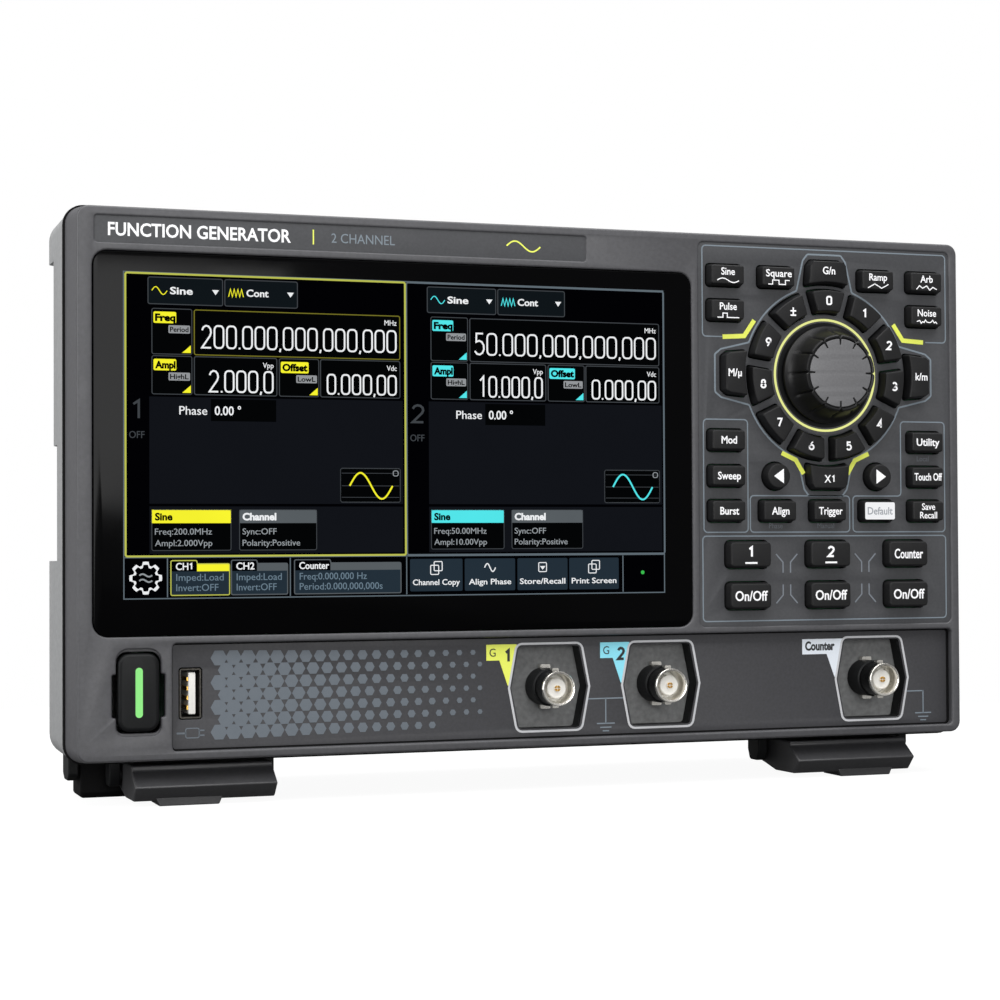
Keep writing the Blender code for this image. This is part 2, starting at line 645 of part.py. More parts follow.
def make_cover(look):
    cover = finish_object("rear_cover", cover_shape(), look=look)
    combine(cover, foot_lugs(), "UNION", "foot_lugs")
    combine(cover, cover_hollow(), "DIFFERENCE", "hollow")
    for label, start, heights in SIDE_SCOOPS:
        scoops = bmesh.new()
        for side in (-1, 1):
            add_scoop(scoops, side, start, *heights)
        combine(cover, scoops, "DIFFERENCE", label)
    combine(cover, rear_cuts(), "DIFFERENCE", "rear_openings")
    combine(cover, foot_pin_holes(), "DIFFERENCE", "pin_holes")


def make_io_bracket(look):
    """Metal plate behind the rear window, with two data sockets and the round power inlet as open cups."""
    near, far = 64.0 * MM, 65.5 * MM
    edge, wall = 2.5 * MM, 1.0 * MM
    mesh = bmesh.new()
    add_box(mesh, IO_X[0] - edge, IO_X[1] + edge, near, far, IO_Z[0] - edge, IO_Z[1] + edge)
    bracket = finish_object("rear_io_bracket", mesh, look=look)
    middle = (IO_Z[0] + IO_Z[1]) / 2
    cups = bmesh.new()
    mouths = bmesh.new()
    for x, width, height, depth in IO_SOCKETS:
        add_prism(cups, centred(x, middle, width, height, 0.0, wall), far - depth - wall, near + 0.5 * MM)
        add_prism(mouths, centred(x, middle, width, height), far - depth, far + MM)
    back = far - INLET_DEPTH
    add_prism(cups, circle(INLET_X, middle, INLET_RADIUS + wall, 16), back - wall, near + 0.5 * MM)
    add_prism(mouths, circle(INLET_X, middle, INLET_RADIUS, 16), back, far + MM)
    combine(bracket, cups, "UNION", "cups")
    combine(bracket, mouths, "DIFFERENCE", "mouths")
    pin = bmesh.new()
    add_prism(pin, circle(INLET_X, middle, INLET_PIN, 12), back - wall / 2, far - 1.5 * MM)
    combine(bracket, pin, "UNION", "inlet_pin")


# Feet


def make_front_foot(side, look):
    """Flip-out leg: nose under the front edge, round barrel on its hinge pins, finger tab below the nose."""
    name = "front_foot_left" if side < 0 else "front_foot_right"
    pivot = (side * FOOT_CENTRE, FOOT_PIVOT_DEPTH, FOOT_PIVOT_Z)
    low_x, high_x = pivot[0] - FOOT_WIDTH / 2, pivot[0] + FOOT_WIDTH / 2
    profile = [(6.3 * MM, -1.8 * MM), (6.3 * MM, -2.9 * MM), (0.7 * MM, -7.0 * MM),
               (4.3 * MM, -10.9 * MM), (16.0 * MM, -11.0 * MM)]
    steps = 8
    for step in range(steps + 1):
        turn = -math.pi / 2 + math.pi * step / steps
        profile.append((FOOT_PIVOT_DEPTH + FOOT_PIVOT_RADIUS * math.cos(turn),
                        FOOT_PIVOT_Z + FOOT_PIVOT_RADIUS * math.sin(turn)))
    mesh = bmesh.new()
    add_side_prism(mesh, profile, low_x, high_x)
    foot = finish_object(name, mesh, pivot, look)
    pins = bmesh.new()
    add_pin(pins, low_x - PIN_REACH, high_x + PIN_REACH, FOOT_PIVOT_DEPTH, FOOT_PIVOT_Z, PIN_RADIUS)
    combine(foot, pins, "UNION", "pins")
    tab = bmesh.new()
    middle = side * (FOOT_CENTRE + 4.2 * MM)
    near, far = 3.6 * MM, 14.5 * MM
    upper = rectangle(middle - 9.0 * MM, middle + 9.0 * MM, -10.5 * MM, -10.0 * MM)
    corners = [(middle - 8.0 * MM, -FACE_Z), (middle + 8.0 * MM, -FACE_Z), upper[2], upper[3]]
    add_prism(tab, corners, near, far)
    combine(foot, tab, "UNION", "tab")


def make_rear_foot(side, look):
    name = "rear_foot_left" if side < 0 else "rear_foot_right"
    low_x, high_x = sorted(side * x for x in REAR_FOOT_X)
    mesh = bmesh.new()
    low, high = -FACE_Z, -FLARE_TOP
    add_stack(mesh, [
        (rectangle(low_x, high_x, low + 1.5 * MM, high, 1.2 * MM), 29.0 * MM),
        (rectangle(low_x, high_x, low, high, 1.2 * MM), 30.5 * MM),
        (rectangle(low_x, high_x, low, high, 1.2 * MM), 42.0 * MM),
    ])
    finish_object(name, mesh, look=look)


def main():
    clear_scene()
    dark_plastic = material("bezel_plastic", (0.11, 0.11, 0.115), 0.55)
    light_plastic = material("cover_plastic", (0.45, 0.46, 0.47), 0.6)
    panel_plastic = material("panel_plastic", (0.075, 0.075, 0.08), 0.55)
    key_rubber = material("key_rubber", (0.02, 0.02, 0.02), 0.55)
    black_plastic = material("black_plastic", (0.012, 0.012, 0.012), 0.45)
    glass = material("screen_glass", (0.01, 0.01, 0.012), 0.08)
    board = material("circuit_board", (0.02, 0.12, 0.05), 0.5)
    nickel = material("nickel", (0.75, 0.73, 0.68), 0.25, 1.0)
    steel = material("zinc_steel", (0.6, 0.6, 0.6), 0.35, 1.0)
    foot_rubber = material("foot_rubber", (0.015, 0.015, 0.015), 0.8)

    keys = key_outlines()
    make_bezel(keys, dark_plastic)
    make_cover(light_plastic)
    make_connector_panel(panel_plastic)
    make_glass(glass)
    make_lcd(black_plastic)
    make_key_board(board)
    for name, outline in keys.items():
        make_key(name, outline, key_rubber)
    for name, x in BNC_X.items():
        make_bnc(name, x, nickel)
    make_usb_socket(steel)
    make_encoder(steel, nickel, black_plastic)
    make_power_button(black_plastic)
    make_main_board(board)
    make_fan(black_plastic, black_plastic)
    make_io_bracket(steel)
    for side in (-1, 1):
        make_front_foot(side, black_plastic)
        make_rear_foot(side, foot_rubber)


main()
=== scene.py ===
"""Looks of the benchtop function generator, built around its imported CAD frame.

Pieces are modelled in millimetres in panel coordinates: x from the front face's centre line, depth
behind the front face, and height above the front face's bottom edge.
"""

import math
from functools import partial

import bmesh
import bpy
from mathutils import Matrix, Vector


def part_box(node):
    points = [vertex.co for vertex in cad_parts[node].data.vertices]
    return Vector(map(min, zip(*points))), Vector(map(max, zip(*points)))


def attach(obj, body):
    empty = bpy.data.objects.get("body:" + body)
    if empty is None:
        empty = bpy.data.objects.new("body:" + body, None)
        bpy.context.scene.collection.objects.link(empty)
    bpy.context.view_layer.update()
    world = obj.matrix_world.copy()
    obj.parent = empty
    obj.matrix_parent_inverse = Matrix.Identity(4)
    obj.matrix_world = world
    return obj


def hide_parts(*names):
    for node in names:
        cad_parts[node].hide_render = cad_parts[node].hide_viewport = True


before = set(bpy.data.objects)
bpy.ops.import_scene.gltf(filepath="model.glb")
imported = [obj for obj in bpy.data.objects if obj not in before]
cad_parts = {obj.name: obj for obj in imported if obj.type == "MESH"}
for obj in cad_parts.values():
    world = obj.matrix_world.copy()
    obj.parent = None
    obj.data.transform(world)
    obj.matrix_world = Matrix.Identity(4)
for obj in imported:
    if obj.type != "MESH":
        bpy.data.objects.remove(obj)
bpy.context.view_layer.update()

MM = 0.001
TOP_FLARE = 1.3
SIDE_FLARE = 2.67
FACE_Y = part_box("front_bezel")[0].y
FACE_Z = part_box("front_bezel")[0].z + TOP_FLARE * MM

# Front
FACE_WIDTH = 260.0
FACE_HEIGHT = 144.4
PLATE = 2.3
BEZEL_DEPTH = 9.0
CASE_DEPTH = 68.1
EDGE_ROUND = 0.5
# Depth of the near-black band behind the bezel's lip, painted shade for the seam's shadow
SEAM_SHADE_DEPTH = 0.8
SEAM = 0.5
# How far the near-black painted-shade frame reaches in over the lower panel's edge
PANEL_SHADE_INSET = 0.45
RECESS = 0.4
OVERLAY_X = (45.9, 127.3)
OVERLAY_Z = (32.2, 142.0)
STRIP_X = (-125.5, 11.5)
STRIP_Z = (135.0, 142.0)
GLASS_X = (-126.2, 43.7)
GLASS_Z = (32.3, 133.0)
GLASS_FRONT = 0.25
SCREEN_X = (-118.0, 34.9)
SCREEN_Z = (42.2, 127.5)
PANEL_X = (-105.3, 127.3)
PANEL_Z = (2.2, 30.4)
PANEL_FRONT = 2.6

# Controls
KEY_FRONT = -2.7
KEY_FLANGE = 0.6
KEY_CLEARANCE = 0.35
KEY_DRAFT = 0.35
LEAST_ROUND = 0.12
RING_KEYS = (18.1, 24.9, 2.7, 11)
HOOD_KEYS = (26.5, 33.3, 6.7, 4.9)
HOOD_LEGEND = 30.2
KNOB_REACH = 9.53
KNOB_NOTCHES = 12
KNOB_STEPS = 16
NOTCH_DEPTH = 0.75
NOTCH_START = 0.84
INK = 0.05

# Jacks
JACK_FRONT = -5.2
WELL_FLOOR = 7.9
WELL_HALF = (11.4, 11.2, 8.9)

# Rear
SCREWS = [(x, z) for x in (-17.5, 57.5) for z in (42.5, 117.5)]
SOCKET_LEVEL = 25.0

# Camera and stage
CAMERA_PLACE = (-0.21757, -0.604015, 0.06815)
CAMERA_TURN = (-0.3398, 0.0202, 0.0048)
CAMERA_LENS = 79.72
SENSOR = 36.0
FLOOR_RADIUS = 0.36
FLOOR_SEEN = 0.94
FLOOR_LIGHT = 0.04


def centre_of(node):
    """Centre of a CAD node in panel coordinates, as (x, height)."""
    low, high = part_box(node)
    return (low.x + high.x) / 2 / MM, ((low.z + high.z) / 2 - FACE_Z) / MM


def size_of(node, margin=0.0):
    low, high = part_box(node)
    return (high.x - low.x) / MM - 2 * margin, (high.z - low.z) / MM - 2 * margin


KNOB = centre_of("knob")
JACKS = {name: centre_of(name) for name in ("bnc_channel_1", "bnc_channel_2", "bnc_counter")}
USB = centre_of("usb_host_socket")
POWER = centre_of("power_button")


# Materials

MATERIALS = {}
GRAIN_DEPTH = 0.00006


def start_material(name, roughness, metallic=0.0):
    made = bpy.data.materials.new(name)
    made.use_nodes = True
    shader = made.node_tree.nodes["Principled BSDF"]
    shader.inputs["Roughness"].default_value = roughness
    shader.inputs["Metallic"].default_value = metallic
    MATERIALS[name] = made
    return made.node_tree, shader


def add_noise(tree, scale, detail=3.0, stretch=(1.0, 1.0, 1.0)):
    """Noise in the object's own space, in features per metre; stretch draws it out along an axis."""
    place = tree.nodes.new("ShaderNodeTexCoord")
    mapping = tree.nodes.new("ShaderNodeMapping")
    mapping.inputs["Scale"].default_value = stretch
    noise = tree.nodes.new("ShaderNodeTexNoise")
    noise.inputs["Scale"].default_value = scale
    noise.inputs["Detail"].default_value = detail
    tree.links.new(place.outputs["Object"], mapping.inputs["Vector"])
    tree.links.new(mapping.outputs["Vector"], noise.inputs["Vector"])
    return noise


def vary_colour(tree, socket, noise, colour, spread):
    ramp = tree.nodes.new("ShaderNodeValToRGB")
    for stop, share, place in zip(ramp.color_ramp.elements, (1 - spread, 1 + spread), (0.3, 0.7)):
        stop.color = (*[min(1.0, part * share) for part in colour], 1.0)
        stop.position = place
    tree.links.new(noise.outputs["Fac"], ramp.inputs["Fac"])
    tree.links.new(ramp.outputs["Color"], socket)


def vary_value(tree, socket, noise, low, high):
    spread = tree.nodes.new("ShaderNodeMapRange")
    spread.inputs["From Min"].default_value = 0.3
    spread.inputs["From Max"].default_value = 0.7
    spread.inputs["To Min"].default_value = low
    spread.inputs["To Max"].default_value = high
    tree.links.new(noise.outputs["Fac"], spread.inputs["Value"])
    tree.links.new(spread.outputs["Result"], socket)


def add_bump(tree, shader, noise, height, strength):
    bump = tree.nodes.new("ShaderNodeBump")
    bump.inputs["Distance"].default_value = height
    bump.inputs["Strength"].default_value = strength
    tree.links.new(noise.outputs["Fac"], bump.inputs["Height"])
    tree.links.new(bump.outputs["Normal"], shader.inputs["Normal"])


def moulded(name, colour, roughness, grain=2600.0, strength=0.35, spread=0.1, gloss=0.5):
    """Spark-eroded moulded plastic or rubber: fine grain, slight mottling and uneven gloss."""
    tree, shader = start_material(name, roughness)
    shader.inputs["Specular IOR Level"].default_value = gloss
    vary_colour(tree, shader.inputs["Base Color"], add_noise(tree, grain * 0.4), colour, spread)
    vary_value(tree, shader.inputs["Roughness"], add_noise(tree, 90.0), roughness - 0.05, roughness + 0.05)
    add_bump(tree, shader, add_noise(tree, grain), GRAIN_DEPTH, strength)


def metal(name, colour, roughness, stretch=(1.0, 1.0, 1.0), scale=1500.0, strength=0.12):
    """Plated or brushed metal: fine scratches drawn out along one axis."""
    tree, shader = start_material(name, roughness, 1.0)
    vary_colour(tree, shader.inputs["Base Color"], add_noise(tree, 300.0), colour, 0.05)
    scratches = add_noise(tree, scale, stretch=stretch)
    vary_value(tree, shader.inputs["Roughness"], scratches, roughness * 0.75, roughness * 1.3)
    add_bump(tree, shader, scratches, 0.00003, strength)


def ink(name, colour):
    """Screen-printed ink, slightly uneven in cover."""
    roughness = 0.55
    tree, shader = start_material(name, roughness)
    vary_colour(tree, shader.inputs["Base Color"], add_noise(tree, 4000.0), colour, 0.04)
    vary_value(tree, shader.inputs["Roughness"], add_noise(tree, 700.0), roughness - 0.06, roughness + 0.06)


def glow(name, colour):
    """Lit area of the display or a light guide, slightly uneven like a backlight."""
    tree, shader = start_material(name, 0.4)
    shader.inputs["Base Color"].default_value = (0.0, 0.0, 0.0, 1.0)
    shader.inputs["Specular IOR Level"].default_value = 0.0
    shader.inputs["Emission Color"].default_value = (*colour, 1.0)
    vary_value(tree, shader.inputs["Emission Strength"], add_noise(tree, 60.0), 0.94, 1.0)


def linear(red, green, blue):
    """Linear colour of an 8-bit display colour."""
    parts = [value / 255 for value in (red, green, blue)]
    return [part / 12.92 if part <= 0.04045 else ((part + 0.055) / 1.055) ** 2.4 for part in parts]


def make_glass_material():
    """Coated glass that reflects little, slightly hazy with handling."""
    tree, shader = start_material("cover_glass", 0.1)
    shader.inputs["Specular IOR Level"].default_value = 0.06
    vary_colour(tree, shader.inputs["Base Color"], add_noise(tree, 25.0), (0.0006, 0.0006, 0.0008), 0.3)
    vary_value(tree, shader.inputs["Roughness"], add_noise(tree, 40.0), 0.07, 0.13)


def make_board_material():
    """Green solder mask with the tracks under it showing as slightly raised paler lines."""
    tree, shader = start_material("solder_mask", 0.35)
    place = tree.nodes.new("ShaderNodeTexCoord")
    tracks = tree.nodes.new("ShaderNodeTexBrick")
    tracks.inputs["Scale"].default_value = 260.0
    tracks.inputs["Color1"].default_value = (0.01, 0.09, 0.03, 1.0)
    tracks.inputs["Color2"].default_value = (0.012, 0.11, 0.04, 1.0)
    tracks.inputs["Mortar"].default_value = (0.03, 0.2, 0.08, 1.0)
    tracks.inputs["Mortar Size"].default_value = 0.012
    tree.links.new(place.outputs["Object"], tracks.inputs["Vector"])
    tree.links.new(tracks.outputs["Color"], shader.inputs["Base Color"])
    add_bump(tree, shader, add_noise(tree, 900.0), 0.00005, 0.2)


# Display colours of the printed inks and of the lit areas
INKS = {
    "white_ink": (247, 247, 249), "outline_ink": (196, 197, 200), "dim_ink": (116, 122, 130),
    "word_dim": (96, 100, 106), "line_ink": (118, 129, 138), "flag_ink": (222, 228, 236),
    "dot_ink": (95, 103, 111), "lime_ink": (232, 240, 96), "cyan_ink": (140, 224, 242),
    "dark_ink": (30, 32, 34), "word_ink": (150, 154, 160),
}
GLOWS = {
    "light_green": (150, 240, 140), "light_lime": (236, 240, 152), "light_white": (246, 247, 249),
    "screen_white": (242, 244, 246), "screen_grey": (150, 156, 160), "screen_dim": (64, 68, 72),
    "screen_yellow": (250, 246, 48), "screen_border": (188, 192, 84), "screen_cyan": (84, 234, 238),
    "screen_olive": (120, 116, 40), "screen_line": (96, 108, 116), "screen_black": (2, 2, 4),
    "screen_pane": (18, 20, 25), "screen_field": (4, 5, 6), "screen_drop": (16, 22, 26),
    "screen_head": (88, 94, 98), "screen_tag": (148, 151, 154), "screen_tab": (36, 48, 58),
    "screen_word": (108, 128, 142), "screen_green": (60, 190, 80),
}


def make_materials():
    moulded("bezel_grey", linear(71, 71, 74), 0.5)
    moulded("overlay_grey", linear(61, 62, 65), 0.58, grain=3400.0, strength=0.2)
    moulded("panel_grey", linear(58, 58, 61), 0.55, grain=3200.0, strength=0.25, gloss=0.4)
    moulded("cover_grey", linear(140, 141, 142), 0.6, grain=2000.0, strength=0.45)
    moulded("well_grey", linear(112, 113, 113), 0.68, grain=1900.0, strength=0.9, spread=0.18)
    moulded("key_black", linear(24, 24, 25), 0.5, grain=3800.0, strength=0.25, gloss=0.25)
    moulded("satin_black", linear(20, 21, 22), 0.45, strength=0.25, gloss=0.15)
    moulded("knob_black", linear(17, 17, 18), 0.38, strength=0.2, gloss=0.3)
    moulded("cap_grey", linear(102, 102, 104), 0.4, grain=4200.0, strength=0.2)
    moulded("foot_black", linear(52, 52, 54), 0.42, grain=2400.0, strength=0.3)
    moulded("foot_rubber", linear(12, 12, 13), 0.8, grain=1800.0, strength=0.5, gloss=0.15)
    moulded("insulator_white", linear(238, 236, 230), 0.35, strength=0.1, spread=0.03)
    metal("nickel_plate", linear(232, 229, 222), 0.22)
    # Near-black nickel for the jack barrels: painted dark reflection
    metal("nickel_painted_dark_reflection", linear(46, 46, 48), 0.32)
    metal("gold_plate", linear(226, 178, 88), 0.25)
    metal("zinc_sheet", linear(190, 190, 192), 0.36, stretch=(1.0, 1.0, 12.0), strength=0.25)
    metal("shell_steel", linear(66, 64, 60), 0.42)
    for name, colour in INKS.items():
        ink(name, linear(*colour))
    for name, colour in GLOWS.items():
        glow(name, linear(*colour))
    make_glass_material()
    make_board_material()


# Outlines: lists of (x, height)


def fillet(corners, radius, steps=5, closed=True):
    """Path through corners, each rounded by an arc; radius is one number or one per corner.

    Nearly straight corners stay as they are, and so do the ends of an open path.
    """
    points = []
    count = len(corners)
    radii = [radius] * count if isinstance(radius, (int, float)) else radius
    for index, (corner, wanted) in enumerate(zip(corners, radii)):
        here = Vector(corner)
        before = Vector(corners[index - 1]) - here
        after = Vector(corners[(index + 1) % count]) - here
        at_end = not closed and index in (0, count - 1)
        if at_end or wanted <= 0 or before.angle(after) > math.radians(156):
            points.append(tuple(here))
            continue
        half = before.angle(after) / 2
        reach = min(wanted / math.tan(half), 0.48 * before.length, 0.48 * after.length)
        bend = reach * math.tan(half)
        centre = here + (before.normalized() + after.normalized()).normalized() * (bend / math.sin(half))
        start = here + before.normalized() * reach - centre
        way = 1 if after.x * before.y - after.y * before.x > 0 else -1
        first = math.atan2(start.y, start.x)
        for step in range(steps + 1):
            turn = first + way * (math.pi - 2 * half) * step / steps
            points.append((centre.x + bend * math.cos(turn), centre.y + bend * math.sin(turn)))
    return points


def box_outline(x_range, z_range, radius=0.0, grow=0.0, steps=5):
    low_x, high_x = x_range[0] - grow, x_range[1] + grow
    low_z, high_z = z_range[0] - grow, z_range[1] + grow
    corners = [(low_x, low_z), (high_x, low_z), (high_x, high_z), (low_x, high_z)]
    return fillet(corners, radius + grow, steps) if radius else corners


def centred(place, size, radius=0.0, grow=0.0, steps=5):
    (x, z), (width, height) = place, size
    return box_outline((x - width / 2, x + width / 2), (z - height / 2, z + height / 2), radius, grow, steps)


def arc(centre, radius, start, stop, steps):
    """Points on an arc between two angles in degrees, anticlockwise from +x."""
    turns = [math.radians(start + (stop - start) * step / steps) for step in range(steps + 1)]
    return [(centre[0] + radius * math.cos(turn), centre[1] + radius * math.sin(turn)) for turn in turns]


def bowl(centre, radii, start, stop, steps=6):
    """Points on an oval arc between two angles in degrees."""
    turned = arc((0, 0), 1, start, stop, steps)
    return [(centre[0] + radii[0] * x, centre[1] + radii[1] * z) for x, z in turned]


def circle(centre, radius, steps=64):
    return arc(centre, radius, 0, 360, steps)[:-1]


def ring_key_outline(number, grow=0.0):
    inner, outer, gap, count = RING_KEYS
    middle = 90 - number * 360 / count
    points = []
    for radius, steps, way in ((outer + grow, 8, 1), (inner - grow, 6, -1)):
        reach = 180 / count - math.degrees(math.asin((gap / 2 - grow) / radius))
        points += arc(KNOB, radius, middle - way * reach, middle + way * reach, steps)
    return fillet(points, max(LEAST_ROUND, 0.9 + grow), 4)


def hood_key_outline(turn, grow=0.0):
    inner, outer, inner_half, outer_half = HOOD_KEYS
    reach = math.degrees(math.asin((inner_half + grow) / (inner - grow)))
    local = arc((0, 0), inner - grow, reach, -reach, 6)
    local += [(outer - 1.6, -outer_half - 1.2 - grow), (outer + grow, -outer_half)]
    local += [(outer + grow, outer_half), (outer - 1.6, outer_half + 1.2 + grow)]
    return fillet(turned_about_knob(local, turn), max(LEAST_ROUND, 0.7 + grow), 4)


def turned_about_knob(points, turn):
    """Points given as (outwards, across) from the knob's axis, turned by an angle in degrees."""
    cos, sin = math.cos(math.radians(turn)), math.sin(math.radians(turn))
    return [(KNOB[0] + a * cos - b * sin, KNOB[1] + a * sin + b * cos) for a, b in points]


def well_outline(jack, grow=0.0, radius=0.9):
    top, side, corner = (part + grow for part in WELL_HALF)
    x, z = JACKS[jack]
    corners = [(x - corner, z - top), (x + corner, z - top), (x + side, z),
               (x + corner, z + top), (x - corner, z + top), (x - side, z)]
    return fillet(corners, radius + max(grow, 0.0), 4)


HOOD_TURNS = {"giga": 90, "mega": 180, "kilo": 0, "unit": 270}
SMALL_KEYS = ("sine", "square", "ramp", "arb", "pulse", "noise", "mod", "utility", "sweep", "touch_off",
              "burst", "align", "trigger", "default", "recall")
LARGE_KEYS = ("channel_1", "channel_2", "counter", "output_1", "output_2", "counter_on")
RING_NAMES = tuple(str(number) for number in range(10)) + ("sign",)


def key_outlines():
    """Every key's name with a function that gives its outline grown by a distance."""
    outlines = {}
    for names, radius in ((SMALL_KEYS, 1.0), (LARGE_KEYS, 1.4)):
        for name in names:
            node = f"key_{name}"
            outlines[name] = partial(centred, centre_of(node), size_of(node, KEY_FLANGE), radius)
    for number, name in enumerate(RING_NAMES):
        outlines[name] = partial(ring_key_outline, number)
    for name, turn in HOOD_TURNS.items():
        outlines[name] = partial(hood_key_outline, turn)
    for name in ("left", "right"):
        outlines[name] = partial(arrow_key_outline, f"key_{name}")
    return outlines


def arrow_key_outline(node, grow=0.0):
    return circle(centre_of(node), size_of(node, KEY_FLANGE)[0] / 2 + grow, 40)


# Lettering

# Centre lines of the digits, in a box one unit high and DIGIT_WIDTH wide.
DIGIT_WIDTH = 0.56
DIGIT_GAP = 0.14
DIGITS = {
    "0": fillet([(0.0, 0.0), (DIGIT_WIDTH, 0.0), (DIGIT_WIDTH, 1.0), (0.0, 1.0)], 0.2),
    "1": [(0.08, 0.8), (0.34, 1.0), (0.34, 0.0)],
    "2": bowl((0.28, 0.72), (0.28, 0.28), 165, -40) + [(0.0, 0.0), (0.56, 0.0)],
    "3": bowl((0.26, 0.75), (0.25, 0.25), 150, -70) + bowl((0.26, 0.27), (0.3, 0.27), 70, -150),
    "4": [(0.42, 0.0), (0.42, 1.0), (0.0, 0.3), (0.56, 0.3)],
    "5": [(0.5, 1.0), (0.1, 1.0)] + bowl((0.26, 0.33), (0.3, 0.33), 125, -150, 8),
    "6": [(0.44, 1.0)] + bowl((0.28, 0.3), (0.28, 0.3), 145, -215, 12),
    "7": [(0.0, 1.0), (0.56, 1.0), (0.2, 0.0)],
    "8": bowl((0.28, 0.76), (0.22, 0.24), -90, 270, 10) + bowl((0.28, 0.26), (0.28, 0.26), 90, -270, 10)[1:],
}
DIGITS["9"] = [(DIGIT_WIDTH - x, 1.0 - z) for x, z in DIGITS["6"]]


def letters_mesh(text, bold):
    """Mesh of one line of lettering, one unit thick, closed and with its edges joined."""
    curve = bpy.data.curves.new("lettering", "FONT")
    curve.body = text
    curve.extrude = 0.5
    curve.offset = bold
    curve.resolution_u = 3
    return mesh_from_curve(curve)


def mesh_from_curve(curve):
    item = bpy.data.objects.new("outline", curve)
    bpy.context.scene.collection.objects.link(item)
    graph = bpy.context.evaluated_depsgraph_get()
    data = bpy.data.meshes.new_from_object(item.evaluated_get(graph))
    mesh = bmesh.new()
    mesh.from_mesh(data)
    bmesh.ops.remove_doubles(mesh, verts=mesh.verts, dist=0.0002)
    bpy.data.objects.remove(item)
    bpy.data.curves.remove(curve)
    bpy.data.meshes.remove(data)
    return mesh


def cap_height():
    mesh = letters_mesh("H", 0.0)
    heights = [vertex.co.y for vertex in mesh.verts]
    mesh.free()
    return max(heights) - min(heights)


# Pieces


class Piece:
    """Closed solids in panel coordinates, in millimetres, gathered under one name."""

    letter_cap = None

    def __init__(self, name):
        self.name = name
        self.mesh = bmesh.new()
        self.looks = []

    def look_index(self, look):
        if look not in self.looks:
            self.looks.append(look)
        return self.looks.index(look)

    def face(self, corners, look):
        self.mesh.faces.new(corners).material_index = self.look_index(look)

    def solid(self, rings, look, loop=False):
        """Closed solid through rings of points; with loop, the last joins the first."""
        self.walls(rings, look, loop)
        if not loop:
            self.face(rings[0], look)
            self.face(rings[-1][::-1], look)

    def walls(self, rings, look, loop):
        pairs = list(zip(rings, rings[1:]))
        if loop:
            pairs.append((rings[-1], rings[0]))
        for near, far in pairs:
            for index in range(len(near)):
                self.face((near[index - 1], near[index], far[index], far[index - 1]), look)

    def ring(self, spots):
        return [self.mesh.verts.new(spot) for spot in spots]

    def stack(self, sections, look, loop=False):
        """Closed solid through (outline, depth) sections."""
        self.solid([self.ring((x, depth, z) for x, z in outline) for outline, depth in sections], look, loop)

    def prism(self, outline, near, far, look):
        self.stack([(outline, near), (outline, far)], look)

    def print_shape(self, outline, surface, look, layer=1):
        """Thin printed area on a surface at that depth; a higher layer lies over a lower one."""
        self.prism(outline, surface - INK * layer, surface + INK, look)

    def domed(self, outline, front, back, radius, look, steps=4):
        """Prism whose front edge is rounded; outline is a function of growth."""
        self.stack([*self.rounded_front(outline, front, radius, steps), (outline(0.0), back)], look)

    @staticmethod
    def rounded_front(outline, front, radius, steps=4):
        sections = []
        for step in range(steps + 1):
            turn = math.pi / 2 * step / steps
            sections.append((outline(-radius * (1 - math.sin(turn))), front + radius * (1 - math.cos(turn))))
        return sections

    def turned(self, profile, centre, look, steps=64, loop=False):
        """Solid turned about the depth axis from (radius, depth); without loop it ends on the axis."""
        rings = [self.ring((x, depth, z) for x, z in circle(centre, radius, steps))
                 for radius, depth in (profile if loop else profile[1:-1])]
        self.walls(rings, look, loop)
        if not loop:
            for ring, depth in ((rings[0], profile[0][1]), (rings[-1], profile[-1][1])):
                tip = self.mesh.verts.new((centre[0], depth, centre[1]))
                for index in range(steps):
                    self.face((tip, ring[index - 1], ring[index]), look)

    def bar(self, profile, low_x, high_x, look):
        """Prism along x through a profile of (depth, height)."""
        self.solid([self.ring((x, depth, z) for depth, z in profile) for x in (low_x, high_x)], look)

    def stroke(self, path, width, surface, look, closed=False, layer=1):
        """Printed line of that width along a path, with mitred corners."""
        count = len(path)
        sides = ([], [])
        for index in range(count):
            here = Vector(path[index])
            steps = []
            if closed or index > 0:
                steps.append((here - Vector(path[index - 1])).normalized())
            if closed or index < count - 1:
                steps.append((Vector(path[(index + 1) % count]) - here).normalized())
            along = sum(steps, Vector((0.0, 0.0))).normalized()
            reach = width / 2 / max(0.35, along.dot(steps[0]))
            across = Vector((-along.y, along.x)) * reach
            sides[0].append(here + across)
            sides[1].append(here - across)
        near, far = surface - INK * layer, surface + INK
        rows = [self.ring((point.x, depth, point.y) for point in side)
                for side, depth in ((sides[0], near), (sides[1], near), (sides[1], far), (sides[0], far))]
        for index in range(count if closed else count - 1):
            after = (index + 1) % count
            for row in range(4):
                other = rows[(row + 1) % 4]
                self.face((rows[row][index], rows[row][after], other[after], other[index]), look)
        if not closed:
            self.face([row[0] for row in rows], look)
            self.face([row[-1] for row in rows][::-1], look)

    def text(self, words, place, cap, surface, look, width=None, bold=0.0, align=0.5, layer=1, wide=0.9):
        """One line of lettering. place is its baseline point, align the share of its width left of it."""
        if Piece.letter_cap is None:
            Piece.letter_cap = cap_height()
        letters = letters_mesh(words, bold)
        scale = cap / Piece.letter_cap
        low = min(vertex.co.x for vertex in letters.verts)
        span = max(vertex.co.x for vertex in letters.verts) - low
        stretch = width / span if width else scale * wide
        near, far = surface - INK * layer, surface + INK
        start = place[0] - (low + align * span) * stretch
        self.add_copy(letters, look, lambda spot: (
            start + spot.x * stretch, near if spot.z > 0 else far, place[1] + spot.y * scale))

    def add_copy(self, source, look, place):
        """Adds another mesh's faces with their points moved by the function place, and frees it."""
        copies = {vertex: self.mesh.verts.new(place(vertex.co)) for vertex in source.verts}
        for face in source.faces:
            self.face([copies[vertex] for vertex in face.verts], look)
        source.free()

